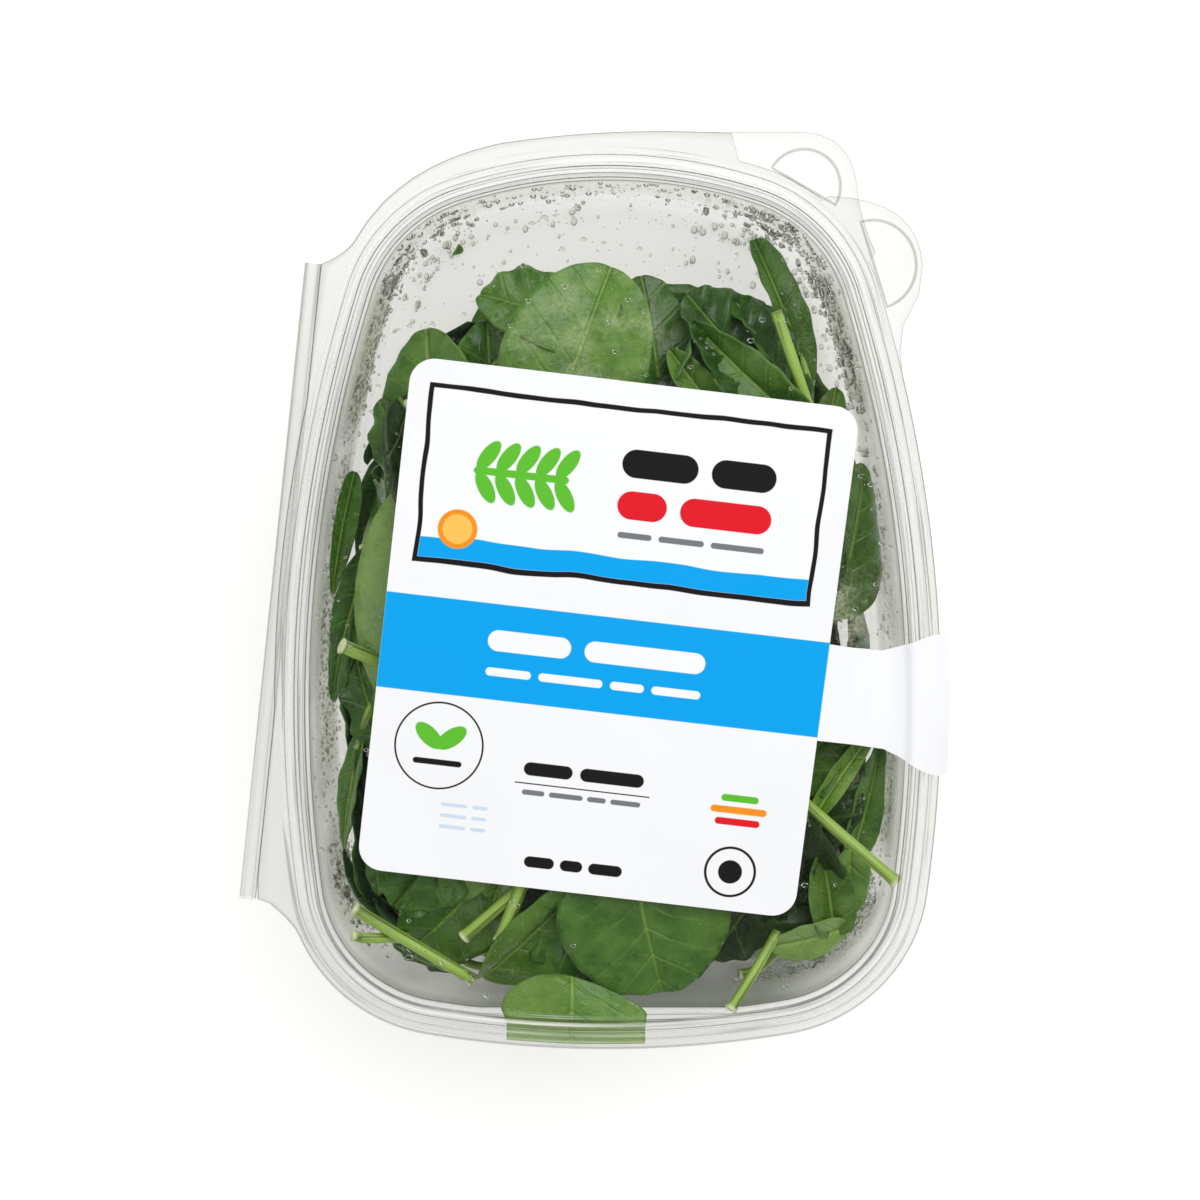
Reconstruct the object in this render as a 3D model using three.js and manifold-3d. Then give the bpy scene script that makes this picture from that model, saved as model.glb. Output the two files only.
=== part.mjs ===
import * as THREE from 'three';
import { mergeVertices } from 'three/addons/utils/BufferGeometryUtils.js';
import Module from 'manifold-3d';

// A hinged clear plastic clamshell of baby spinach, shut and lying on its back, in millimetres.
// The origin is the middle of the tray's underside: +X is away from the hinge, +Y is towards
// the pack's narrow end and +Z is up, through the lid.

const WALL = 0.6;              // sheet thickness of tray and lid
const RIM_Z = 66;              // top face of the tray's flange
const LID_GAP = 0.4;           // between the tray's flange and the lid's
const FLANGE = 9.4;            // flange width, out from the mouth
const PLATE_CUT = 6;           // the flat plates start this far out from the mouth
const AXIS = -60;              // offset that stands for the middle of a ring

// The mouth and the floor are rounded trapezoids: a foot, two bulged sides and a narrow end,
// each one arc, joined by the arcs of two heels and two shoulders.
const MOUTH = {
  footY: -112.7, footRadius: 278, heelRadius: 35,
  halfWidth: 79, wideY: -33, sideRadius: 370,
  shoulderRadius: 36, endY: 110, endRadius: 125,
};
const FLOOR = {
  footY: -111.5, footRadius: 278, heelRadius: 32.6,
  halfWidth: 76.8, wideY: -34, sideRadius: 368,
  shoulderRadius: 33, endY: 104.6, endRadius: 120,
};
const ARC_STEPS = { foot: 3, heel: 8, side: 8, shoulder: 6, end: 3 };
const FLOOR_FILLET = 7;
const STAND_Y = { floor: -109.4, mouth: -110.5 };    // flat face that the upright pack stands on
const STAND_LIMIT = 1.2;                             // only the wall is flat, not the ledge round it

// The fold that joins lid and tray lies along a straight, slanted line.
const TURN = THREE.MathUtils.degToRad(6.75);
const HINGE = { x: -88.7, y: 4.6, length: 170, barrel: 4.4, rise: 1.5, play: 0.3 };
const HINGE_ALONG = new THREE.Vector2(Math.sin(TURN), Math.cos(TURN));
const HINGE_INWARD = new THREE.Vector2(HINGE_ALONG.y, -HINGE_ALONG.x);

const LABEL = { x: -0.5, y: -10, width: 117.3, height: 137.2, corner: 6.5, thickness: 0.4, lift: 3.5 };
const TONGUE = { y: -23.3, halfWidth: 13, flare: 6, flareFrom: -8, steps: 10 };

const HEAP = {
  footY: -105.5, footRadius: 240, heelRadius: 30,
  halfWidth: 72.4, wideY: -34, sideRadius: 360,
  shoulderRadius: 26, endY: 83, endRadius: 80,
  bottom: 1, top: 67.6, bump: 6, slopeFrom: 42, slope: 0.011,
};

const material = {
  tray: new THREE.MeshStandardMaterial({
    name: 'clear_tray', color: '#e6ebe6', roughness: 0.08, metalness: 0, transparent: true, opacity: 0.3,
  }),
  lid: new THREE.MeshStandardMaterial({
    name: 'clear_lid', color: '#eef2ee', roughness: 0.05, metalness: 0, transparent: true, opacity: 0.25,
  }),
  label: new THREE.MeshStandardMaterial({ name: 'label', color: '#f6f8fb', roughness: 0.45, metalness: 0 }),
  spinach: new THREE.MeshStandardMaterial({ name: 'spinach', color: '#3f6b2c', roughness: 0.6, metalness: 0 }),
};

const wasm = await Module();
wasm.setup();

// Outlines -----------------------------------------------------------------------------------

// Centre of an arc that touches two larger circles from the inside, on the +X side.
function tangentCentre(a, radiusA, b, radiusB, radius, up) {
  const ra = radiusA - radius;
  const rb = radiusB - radius;
  const span = a.distanceTo(b);
  const along = (ra * ra - rb * rb + span * span) / (2 * span);
  const across = Math.sqrt(ra * ra - along * along);
  const u = b.clone().sub(a).divideScalar(span);
  const foot = a.clone().addScaledVector(u, along);
  const normal = new THREE.Vector2(-u.y, u.x);
  const first = foot.clone().addScaledVector(normal, across);
  const second = foot.clone().addScaledVector(normal, -across);
  return Math.sign(first.y - second.y) === up ? first : second;
}

// The arcs of the +X half, anticlockwise from the middle of the foot to the middle of the end.
function halfArcs(o) {
  const foot = new THREE.Vector2(0, o.footY + o.footRadius);
  const side = new THREE.Vector2(o.halfWidth - o.sideRadius, o.wideY);
  const end = new THREE.Vector2(0, o.endY - o.endRadius);
  const heel = tangentCentre(foot, o.footRadius, side, o.sideRadius, o.heelRadius, -1);
  const shoulder = tangentCentre(end, o.endRadius, side, o.sideRadius, o.shoulderRadius, 1);
  const heelStart = heel.clone().sub(foot).angle() - 2 * Math.PI;
  const heelStop = heel.clone().sub(side).angle() - 2 * Math.PI;
  const shoulderStart = shoulder.clone().sub(side).angle();
  const shoulderStop = shoulder.clone().sub(end).angle();
  return [
    { centre: foot, radius: o.footRadius, from: -Math.PI / 2, to: heelStart, steps: ARC_STEPS.foot },
    { centre: heel, radius: o.heelRadius, from: heelStart, to: heelStop, steps: ARC_STEPS.heel },
    { centre: side, radius: o.sideRadius, from: heelStop, to: shoulderStart, steps: ARC_STEPS.side },
    { centre: shoulder, radius: o.shoulderRadius, from: shoulderStart, to: shoulderStop, steps: ARC_STEPS.shoulder },
    { centre: end, radius: o.endRadius, from: shoulderStop, to: Math.PI / 2, steps: ARC_STEPS.end },
  ];
}

const HALF_STEPS = Object.values(ARC_STEPS).reduce((sum, steps) => sum + steps, 0);
const OUTLINE_STEPS = 2 * HALF_STEPS;

// Gives point k of an outline, moved outwards by an offset.
function outline(sizes) {
  const arcs = halfArcs(sizes);
  return (k, offset) => {
    const turn = k % OUTLINE_STEPS;
    const mirrored = turn > HALF_STEPS;
    let step = mirrored ? OUTLINE_STEPS - turn : turn;
    let arc = arcs[0];
    for (const next of arcs) {
      arc = next;
      if (step <= next.steps) break;
      step -= next.steps;
    }
    const angle = THREE.MathUtils.lerp(arc.from, arc.to, step / arc.steps);
    const point = new THREE.Vector2(Math.cos(angle), Math.sin(angle)).multiplyScalar(arc.radius + offset);
    point.add(arc.centre);
    if (mirrored) point.x = -point.x;
    return point;
  };
}

const mouthAt = outline(MOUTH);
const floorAt = outline(FLOOR);
const heapAt = outline(HEAP);

// The tray's wall leans out from the floor to the mouth, and its foot end is flat.
function trayAt(k, offset, z) {
  const level = THREE.MathUtils.clamp(z / RIM_Z, 0, 1);
  const point = floorAt(k, offset).lerp(mouthAt(k, offset), level);
  if (offset < STAND_LIMIT) {
    const stand = THREE.MathUtils.lerp(STAND_Y.floor, STAND_Y.mouth, level) - offset;
    point.y = Math.max(point.y, stand);
  }
  return point;
}

// Solids -------------------------------------------------------------------------------------

// A ring turned as a lathe, then set out round an outline: profile points are (offset, z).
function ring(profile, place) {
  const geometry = new THREE.LatheGeometry(profile, OUTLINE_STEPS);
  const position = geometry.getAttribute('position');
  for (let i = 0; i < position.count; i += 1) {
    const k = Math.floor(i / profile.length);
    const { x: offset, y: z } = profile[i % profile.length];
    const point = offset === AXIS ? new THREE.Vector2(0, 0) : place(k, offset, z);
    position.setXYZ(i, point.x, point.y, z);
  }
  return geometry;
}

function toManifold(geometry) {
  const bare = geometry.clone();
  bare.deleteAttribute('normal');
  bare.deleteAttribute('uv');
  const merged = mergeVertices(bare, 1e-4);
  const index = merged.getIndex().array;
  const triangles = [];
  for (let i = 0; i < index.length; i += 3) {
    const [a, b, c] = [index[i], index[i + 1], index[i + 2]];
    if (a !== b && b !== c && c !== a) triangles.push(a, b, c);
  }
  const vertProperties = new Float32Array(merged.getAttribute('position').array);
  const mesh = new wasm.Mesh({ numProp: 3, vertProperties, triVerts: new Uint32Array(triangles) });
  return new wasm.Manifold(mesh);
}

function toGeometry(solid) {
  const mesh = solid.getMesh();
  const geometry = new THREE.BufferGeometry();
  geometry.setAttribute('position', new THREE.BufferAttribute(new Float32Array(mesh.vertProperties), 3));
  geometry.setIndex(new THREE.BufferAttribute(new Uint32Array(mesh.triVerts), 1));
  geometry.computeVertexNormals();
  return geometry;
}

function prism(shape, z, depth, curveSegments = 6) {
  return new THREE.ExtrudeGeometry(shape, { depth, bevelEnabled: false, curveSegments }).translate(0, 0, z);
}

function points(list) {
  return list.map(([x, y]) => new THREE.Vector2(x, y));
}

// Flanges, hinge and finger tabs -------------------------------------------------------------

function hingePoint(along, inward) {
  return new THREE.Vector2(HINGE.x, HINGE.y)
    .addScaledVector(HINGE_ALONG, along)
    .addScaledVector(HINGE_INWARD, inward);
}

// Flat plate from the hinge round the narrow end: its inner part is cut away with the mouth.
function hingePlateShape() {
  const top = hingePoint(HINGE.length / 2, HINGE.barrel);
  const bottom = hingePoint(-HINGE.length / 2, HINGE.barrel);
  const shape = new THREE.Shape();
  shape.moveTo(bottom.x, bottom.y);
  shape.lineTo(bottom.x + 4, bottom.y - 1.5);
  shape.quadraticCurveTo(-82, -88.5, -77.5, -100);
  shape.lineTo(-50, -90);
  shape.lineTo(-50, 80);
  shape.lineTo(20, 100);
  shape.lineTo(40, 121.5);
  shape.quadraticCurveTo(4, 124.5, -28, 119.5);
  shape.quadraticCurveTo(-54, 114, -65, 95.5);
  shape.quadraticCurveTo(-67, 91.5, top.x, top.y);
  return shape;
}

// The lid's tab stands on the narrow end's corner, the tray's one just round it.
function lidTabShape() {
  const shape = new THREE.Shape();
  shape.moveTo(20, 100);
  shape.lineTo(20, 122.4);
  shape.lineTo(50, 122.4);
  shape.quadraticCurveTo(63.5, 122, 64.5, 107);
  shape.quadraticCurveTo(65, 101, 69.5, 91);
  shape.lineTo(50, 80);
  return shape;
}

function trayTabShape() {
  const shape = new THREE.Shape();
  shape.moveTo(40, 90);
  shape.lineTo(57, 106);
  shape.quadraticCurveTo(82, 105.5, 81.8, 86);
  shape.quadraticCurveTo(81.5, 79, 77.6, 75);
  shape.quadraticCurveTo(75.5, 69, 76.5, 58);
  shape.lineTo(60, 58);
  return shape;
}

// Raised D-shaped grip on a tab.
function gripRidge(x, y, turn, z, height) {
  const outer = new THREE.Shape();
  outer.moveTo(-9, -5);
  outer.lineTo(9, -5);
  outer.absarc(0, -5, 9, 0, Math.PI);
  const inner = new THREE.Path();
  inner.absarc(0, -4.1, 7.8, Math.PI, 0, true);
  outer.holes.push(inner);
  return prism(outer, 0, height, 10).scale(1, 1.25, 1).rotateZ(turn).translate(x, y, z);
}

// One half of the fold's barrel, above or below the flange plates.
function hingeBarrel(side, plateZ) {
  const { barrel, rise, play } = HINGE;
  const overlap = 1.5;
  const section = new THREE.Shape(points([
    [barrel + overlap, 0], [barrel, 0], [barrel - 0.5, rise], [1.6, rise], [play, 0.6], [play, 0],
    [play + WALL, 0], [1.9, rise - WALL], [barrel - 1, rise - WALL], [barrel - 0.6, -WALL], [barrel + overlap, -WALL],
  ]));
  const geometry = prism(section, -HINGE.length / 2, HINGE.length);
  const frame = new THREE.Matrix4().makeBasis(
    new THREE.Vector3(HINGE_INWARD.x, HINGE_INWARD.y, 0),
    new THREE.Vector3(0, 0, side),
    new THREE.Vector3(-HINGE_ALONG.x, -HINGE_ALONG.y, 0).multiplyScalar(side),
  );
  frame.setPosition(HINGE.x, HINGE.y, plateZ);
  return geometry.applyMatrix4(frame);
}

function mouthCut() {
  const steps = Array.from({ length: OUTLINE_STEPS }, (_, k) => mouthAt(k, PLATE_CUT));
  return toManifold(prism(new THREE.Shape(steps), RIM_Z - 10, 20));
}

// Joins a turned shell with its flat plates, its tab, its grip and its half of the fold.
function withFlange(shell, plateZ, tabShape, grip, barrel) {
  const plates = toManifold(prism(hingePlateShape(), plateZ, WALL, 8))
    .add(toManifold(prism(tabShape, plateZ, WALL, 8)))
    .subtract(mouthCut());
  return toGeometry(toManifold(shell).add(plates).add(toManifold(grip)).add(toManifold(barrel)));
}

function trayGeometry() {
  const fillet = [-90, -60, -30, 0].map((degrees) => {
    const angle = THREE.MathUtils.degToRad(degrees);
    return [Math.cos(angle), Math.sin(angle)];
  });
  const inside = fillet.map(([c, s]) => [FLOOR_FILLET * (c - 1), WALL + FLOOR_FILLET * (1 + s)]);
  const outerRadius = FLOOR_FILLET + WALL;
  const outside = fillet.map(([c, s]) => [WALL + outerRadius * (c - 1), outerRadius * (1 + s)]).reverse();
  const bead = [[1.9, RIM_Z], [2.3, RIM_Z + 1.8], [3.0, RIM_Z + 1.8], [3.4, RIM_Z]];
  const profile = points([
    [AXIS, WALL], ...inside, [0, RIM_Z - 1], [0.4, RIM_Z - 0.1], ...bead, [FLANGE, RIM_Z],
    [FLANGE, RIM_Z - WALL], [WALL + 0.4, RIM_Z - WALL], [WALL, RIM_Z - 1.4], ...outside, [AXIS, 0],
  ]).reverse();
  const grip = gripRidge(73.5, 88, THREE.MathUtils.degToRad(-70), RIM_Z - WALL, WALL + 0.2);
  const barrel = hingeBarrel(-1, RIM_Z - WALL);
  return withFlange(ring(profile, trayAt), RIM_Z - WALL, trayTabShape(), grip, barrel);
}

function lidGeometry() {
  const plateZ = RIM_Z + LID_GAP;
  const top = [[AXIS, 3.2], [0.6, 3.2], [1.6, 5.0], [2.0, 5.3], [3.2, 5.3], [3.6, 5.0], [4.2, 2.6],
    [6.4, 2.4], [7.0, 1.0], [FLANGE, 1.0]];
  const under = [[FLANGE, 0.4], [6.6, 0.4], [6.0, 1.8], [3.7, 2.0], [3.1, 4.5], [2.2, 4.6], [1.1, 2.6], [AXIS, 2.6]];
  const profile = points([...top, ...under].map(([offset, z]) => [offset, RIM_Z + z])).reverse();
  const grip = gripRidge(52.5, 112, THREE.MathUtils.degToRad(-30), plateZ, WALL + 0.8);
  const barrel = hingeBarrel(1, plateZ + WALL);
  return withFlange(ring(profile, mouthAt), plateZ, lidTabShape(), grip, barrel);
}

// Label --------------------------------------------------------------------------------------

function labelPlate() {
  const { width, height, corner, thickness } = LABEL;
  const [w, h] = [width / 2, height / 2];
  const shape = new THREE.Shape();
  shape.absarc(w - corner, h - corner, corner, 0, Math.PI / 2);
  shape.absarc(-w + corner, h - corner, corner, Math.PI / 2, Math.PI);
  shape.absarc(-w + corner, -h + corner, corner, Math.PI, 1.5 * Math.PI);
  shape.absarc(w - corner, -h + corner, corner, 1.5 * Math.PI, 2 * Math.PI);
  return prism(shape, 0, thickness).rotateZ(-TURN).translate(LABEL.x, LABEL.y, RIM_Z + LABEL.lift);
}

// The sealing tongue runs from the label over the rim and down past the flange: (offset, z).
function tongueGeometry() {
  const mid = LABEL.lift + LABEL.thickness / 2;
  const path = points([
    [-26, mid], [-14, mid], [-1.2, mid], [1.0, 5.4], [1.9, 5.95], [3.5, 5.95],
    [5.4, 4.6], [9.0, 2.2], [10.4, 0.9], [11.3, -1.4], [11.9, -5.0],
  ]);
  const geometry = new THREE.BoxGeometry(1, 1, 1, TONGUE.steps, 8, 1);
  const position = geometry.getAttribute('position');
  const centreX = MOUTH.halfWidth - MOUTH.sideRadius;
  for (let i = 0; i < position.count; i += 1) {
    const step = Math.round((position.getX(i) + 0.5) * TONGUE.steps);
    const before = path[Math.max(step - 1, 0)];
    const after = path[Math.min(step + 1, TONGUE.steps)];
    const along = after.clone().sub(before).normalize();
    const lift = position.getZ(i) * LABEL.thickness;
    const offset = path[step].x - along.y * lift;
    const spread = THREE.MathUtils.smoothstep(offset, TONGUE.flareFrom, FLANGE);
    const halfWidth = TONGUE.halfWidth + TONGUE.flare * spread;
    const slant = Math.tan(TURN) * (offset - path[0].x);
    const y = TONGUE.y - slant + 2 * position.getY(i) * halfWidth;
    const reach = Math.sqrt((MOUTH.sideRadius + offset) ** 2 - (y - MOUTH.wideY) ** 2);
    position.setXYZ(i, centreX + reach, y, RIM_Z + path[step].y + along.x * lift);
  }
  return geometry;
}

function labelGeometry() {
  return toGeometry(toManifold(labelPlate()).add(toManifold(tongueGeometry())));
}

// Spinach ------------------------------------------------------------------------------------

// Waves of unlike length that stand for the lie of the leaves, from 0 to 1.
function unevenness(x, y, z) {
  const waves = Math.sin(x / 8.5 + y / 15) + Math.sin(y / 7 - x / 19 + z / 9) + Math.sin((x + y) / 12 - z / 6);
  return 0.5 + waves / 6;
}

function heapTop(x, y) {
  const slope = HEAP.slope * Math.max(0, y - HEAP.slopeFrom) ** 2;
  return HEAP.top - HEAP.bump * unevenness(x, y, 0) - slope;
}

function spinachGeometry() {
  const rings = [[0, 0], [0.6, 0], [0.92, 0], [0.97, 0.08], [1, 0.3], [1, 0.55], [1, 0.8], [0.97, 0.94],
    [0.9, 1], [0.75, 1], [0.58, 1], [0.4, 1], [0.2, 1], [0, 1]];
  const profile = points(rings);
  const geometry = new THREE.LatheGeometry(profile, OUTLINE_STEPS);
  const position = geometry.getAttribute('position');
  for (let i = 0; i < position.count; i += 1) {
    const { x: reach, y: level } = profile[i % profile.length];
    const plan = heapAt(Math.floor(i / profile.length), 0);
    const shrink = 1 - 0.05 * unevenness(plan.x, plan.y, 60 * level);
    plan.multiplyScalar(reach * shrink);
    const z = THREE.MathUtils.lerp(HEAP.bottom, heapTop(plan.x, plan.y), level);
    position.setXYZ(i, plan.x, plan.y, z);
  }
  return geometry;
}

// Assembly -----------------------------------------------------------------------------------

function named(name, geometry) {
  const mesh = new THREE.Mesh(geometry, material[name]);
  mesh.name = name;
  return mesh;
}

const group = new THREE.Group();
group.add(named('tray', trayGeometry()));
group.add(named('lid', lidGeometry()));
group.add(named('label', labelGeometry()));
group.add(named('spinach', spinachGeometry()));

export default group;
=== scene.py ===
"""Looks of a clear clamshell of baby spinach: tray, hinged lid, label, leaves and droplets."""
import cmath
import functools
import math
import random
from typing import NamedTuple

import bmesh
import bpy
from bpy.props import FloatProperty, FloatVectorProperty, IntProperty, PointerProperty
from mathutils import Matrix, Vector, noise
from mathutils.geometry import interpolate_bezier


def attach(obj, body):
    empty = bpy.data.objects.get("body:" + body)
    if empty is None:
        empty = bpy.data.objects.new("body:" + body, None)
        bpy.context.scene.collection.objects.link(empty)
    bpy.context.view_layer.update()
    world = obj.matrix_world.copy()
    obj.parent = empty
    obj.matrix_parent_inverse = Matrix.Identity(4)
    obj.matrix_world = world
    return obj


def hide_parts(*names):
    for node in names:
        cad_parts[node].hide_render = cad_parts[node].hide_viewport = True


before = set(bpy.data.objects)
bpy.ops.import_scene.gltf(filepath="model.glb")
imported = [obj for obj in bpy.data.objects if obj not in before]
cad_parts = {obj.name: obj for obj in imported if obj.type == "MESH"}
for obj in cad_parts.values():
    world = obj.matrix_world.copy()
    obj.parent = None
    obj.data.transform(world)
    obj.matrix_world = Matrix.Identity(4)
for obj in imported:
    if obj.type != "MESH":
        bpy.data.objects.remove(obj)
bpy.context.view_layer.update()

bl_info = {
    "name": "Spinach clamshell",
    "version": (1, 0, 0),
    "blender": (4, 5, 0),
    "location": "3D View > Sidebar > Clamshell",
    "description": "Makes a clear hinged clamshell of baby spinach around its CAD frame",
    "category": "Add Mesh",
}

# Lengths below are millimetres in the frame's axes; a finished piece is scaled to metres.
MM = 0.001
TRAY, LID = "tray_body", "lid_body"
WALL = 0.6                # sheet thickness
RIM_Z = 66.0              # top face of the tray's flange
LID_GAP = 0.4             # between the two flanges
LID_UNDER = RIM_Z + 2.6   # underside of the lid's flat panel
FLANGE = 9.4              # flange width, out from the mouth
PLATE_FROM = 9.0          # rings past this offset follow the flange's plates
AXIS = -60.0              # offset that stands for a ring's middle
INNER = -8.0              # rings inside this offset shrink evenly to the middle
FLOOR_FILLET = 7.0
STAND_Y = (-109.4, -110.5)    # flat foot, at the floor and at the mouth
STAND_LIMIT = 1.2             # rings inside this offset follow the flat foot
TURN = math.radians(6.75)     # slant of the hinge and of the label
HINGE_AT = complex(-88.7, 4.6)
HINGE_ALONG = complex(math.sin(TURN), math.cos(TURN))
HINGE_INWARD = complex(HINGE_ALONG.imag, -HINGE_ALONG.real)
HINGE_LENGTH, HINGE_BARREL, HINGE_RISE, HINGE_PLAY = 170.0, 4.4, 1.5, 0.3


# Outlines -----------------------------------------------------------------------------------

def tangent_centre(a, radius_a, b, radius_b, radius, up):
    """Centre of an arc that touches two larger circles from the inside, on the +X side."""
    ra, rb, span = radius_a - radius, radius_b - radius, abs(b - a)
    along = (ra * ra - rb * rb + span * span) / (2 * span)
    across = math.sqrt(ra * ra - along * along)
    unit = (b - a) / span
    first, second = (a + unit * (along + side * across * 1j) for side in (1, -1))
    return first if (first.imag - second.imag) * up > 0 else second


FINE = (14, 24, 26, 30, 12)     # steps along the foot, heel, side, shoulder and end
COARSE = (4, 7, 8, 7, 4)


class Outline:
    """A rounded trapezoid made of arcs: a foot, two bulged sides and a narrow end."""

    def __init__(self, foot, heel, side, shoulder, end):
        foot_y, foot_radius = foot
        half_width, wide_y, side_radius = side
        end_y, end_radius = end
        foot_at = complex(0, foot_y + foot_radius)
        side_at = complex(half_width - side_radius, wide_y)
        end_at = complex(0, end_y - end_radius)
        heel_at = tangent_centre(foot_at, foot_radius, side_at, side_radius, heel, -1)
        shoulder_at = tangent_centre(end_at, end_radius, side_at, side_radius, shoulder, 1)
        turns = [
            -math.pi / 2, cmath.phase(heel_at - foot_at), cmath.phase(heel_at - side_at),
            cmath.phase(shoulder_at - side_at), cmath.phase(shoulder_at - end_at), math.pi / 2,
        ]
        centres = [foot_at, heel_at, side_at, shoulder_at, end_at]
        radii = [foot_radius, heel, side_radius, shoulder, end_radius]
        self.arcs = list(zip(centres, radii, turns, turns[1:]))

    def arc(self, k, steps):
        """The arc that step k is on, its angle there, and whether it is on the -X side."""
        half = sum(steps)
        turn = k % (2 * half)
        mirrored = turn > half
        step = 2 * half - turn if mirrored else turn
        for (centre, radius, start, stop), count in zip(self.arcs, steps):
            if step <= count:
                break
            step -= count
        return centre, radius, start + (stop - start) * step / count, mirrored

    def point(self, k, offset, steps=FINE):
        centre, radius, angle, mirrored = self.arc(k, steps)
        at = centre + cmath.rect(radius + offset, angle)
        return complex(-at.real, at.imag) if mirrored else at

    def outward(self, k, steps=FINE):
        _, _, angle, mirrored = self.arc(k, steps)
        way = cmath.rect(1, angle)
        return complex(-way.real, way.imag) if mirrored else way

    def reach(self, at):
        """How far a point is outside the outline, and the way out from there."""
        sign = -1 if at.real < 0 else 1
        folded = complex(abs(at.real), at.imag)
        best = None
        for centre, radius, start, stop in (self.arcs[1], self.arcs[3]):
            way = folded - centre
            if start <= cmath.phase(way) <= stop:
                best = (abs(way) - radius, way)
        if best is None:
            ways = [(abs(folded - c) - r, folded - c) for c, r, _, _ in self.arcs[::2]]
            best = max(ways, key=lambda pair: pair[0])
        distance, way = best
        way /= max(abs(way), 1e-6)
        return distance, complex(way.real * sign, way.imag)


# Each one: foot (y, radius), heel's radius, side (widest x, the y of that, radius),
# shoulder's radius and end (y, radius).
MOUTH = Outline((-112.7, 278), 35, (79, -33, 370), 36, (110, 125))
FLOOR = Outline((-111.5, 278), 32.6, (76.8, -34, 368), 33, (104.6, 120))
HEAP = Outline((-105.5, 240), 30, (72.4, -34, 360), 26, (83, 80))


def wall_at(k, offset, z):
    """Plan of the tray's wall, which leans out from floor to mouth and has a flat foot."""
    level = clamp(z / RIM_Z)
    at = FLOOR.point(k, offset) * (1 - level) + MOUTH.point(k, offset) * level
    if offset < STAND_LIMIT:
        stand = STAND_Y[0] * (1 - level) + STAND_Y[1] * level - offset
        at = complex(at.real, max(at.imag, stand))
    return at


def mouth_at(k, offset, z):
    return MOUTH.point(k, offset)


def heap_at(k, offset, z):
    return HEAP.point(k, offset)


def clamp(value, low=0.0, high=1.0):
    return min(max(value, low), high)


def soft_limit(value, limit, ease):
    """Leaves a value alone below the limit, and crowds what lies past it up against it."""
    start = limit - ease
    if value <= start:
        return value
    return limit - ease * math.exp((start - value) / ease)


def in_plan(at, z=0.0):
    return Vector((at.real, at.imag, z))


def settle(point, depth, ease=5):
    """Presses a point of the salad in from the walls, floor and lid, by at least a depth."""
    level = clamp(point.z / RIM_Z)
    at = complex(point.x, point.y)
    low, low_way = FLOOR.reach(at)
    high, high_way = MOUTH.reach(at)
    out = low * (1 - level) + high * level
    way = low_way * (1 - level) + high_way * level
    z = soft_limit(point.z, LID_UNDER - depth, 0.8 * ease)
    z = -soft_limit(-z, -WALL - depth, 0.8 * ease)
    kept = soft_limit(out, -depth, ease)
    over, under = kept + FLOOR_FILLET, WALL + FLOOR_FILLET - z
    corner = math.hypot(over, under)
    if over > 0 and under > 0 and corner > FLOOR_FILLET - depth:
        shrink = (FLOOR_FILLET - depth) / corner
        kept, z = over * shrink - FLOOR_FILLET, WALL + FLOOR_FILLET - under * shrink
    at += way * (kept - out)
    return in_plan(at, z)


# Mesh helpers -------------------------------------------------------------------------------

RING = "ring_place"      # attribute: how far out a point of a turned sheet is, from its middle
Vert, Edge = bmesh.types.BMVert, bmesh.types.BMEdge


def of_kind(items, kind):
    return [item for item in items if isinstance(item, kind)]


def everything(bm):
    return bm.verts[:] + bm.edges[:] + bm.faces[:]


def recalculate(bm):
    bmesh.ops.recalc_face_normals(bm, faces=bm.faces)


def face_up(bm):
    """Makes the faces of an open sheet agree and look up."""
    recalculate(bm)
    if sum(face.normal.z * face.calc_area() for face in bm.faces) < 0:
        bmesh.ops.reverse_faces(bm, faces=bm.faces)


def piece(bm, name, body, slot, *finishes, sharp=40):
    """Closes a bmesh as an object in metres that rides on a body and has its finishes."""
    bmesh.ops.transform(bm, matrix=Matrix.Scale(MM, 4), verts=bm.verts)
    mesh = bpy.data.meshes.new(name)
    bm.to_mesh(mesh)
    bm.free()
    mesh.shade_smooth()
    mesh.set_sharp_from_angle(angle=math.radians(sharp))
    for finish in finishes:
        mesh.materials.append(finish)
    made = bpy.data.objects.new(name, mesh)
    bpy.context.scene.collection.objects.link(made)
    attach(made, body)
    return made


def turned(bm, profile, rounding, place):
    """Spins a profile of (offset, z) with rounded corners, and sets it out round an outline."""
    verts = [bm.verts.new((offset - AXIS, 0, z)) for offset, z in profile]
    for pair in zip(verts, verts[1:]):
        bm.edges.new(pair)
    bmesh.ops.bevel(
        bm, geom=verts[1:-1], offset=rounding, offset_type="OFFSET", affect="VERTICES",
        segments=3, profile=0.5, material=-1, clamp_overlap=True,
    )
    around = 2 * sum(FINE)
    bmesh.ops.spin(
        bm, geom=bm.verts[:] + bm.edges[:], cent=(0, 0, 0), axis=(0, 0, 1), dvec=(0, 0, 0),
        angle=2 * math.pi, steps=around, use_merge=True,
    )
    bmesh.ops.remove_doubles(bm, verts=bm.verts, dist=1e-4)
    recalculate(bm)
    ring_place = bm.verts.layers.float.new(RING)
    for vert in bm.verts:
        spot = complex(vert.co.x, vert.co.y)
        k = round(cmath.phase(spot) / (2 * math.pi) * around) % around
        offset = abs(spot) + AXIS
        vert[ring_place] = offset - AXIS
        at = place(k, max(offset, INNER), vert.co.z)
        if offset < INNER:
            at *= abs(spot) / (INNER - AXIS)
        vert.co.x, vert.co.y = at.real, at.imag


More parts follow.
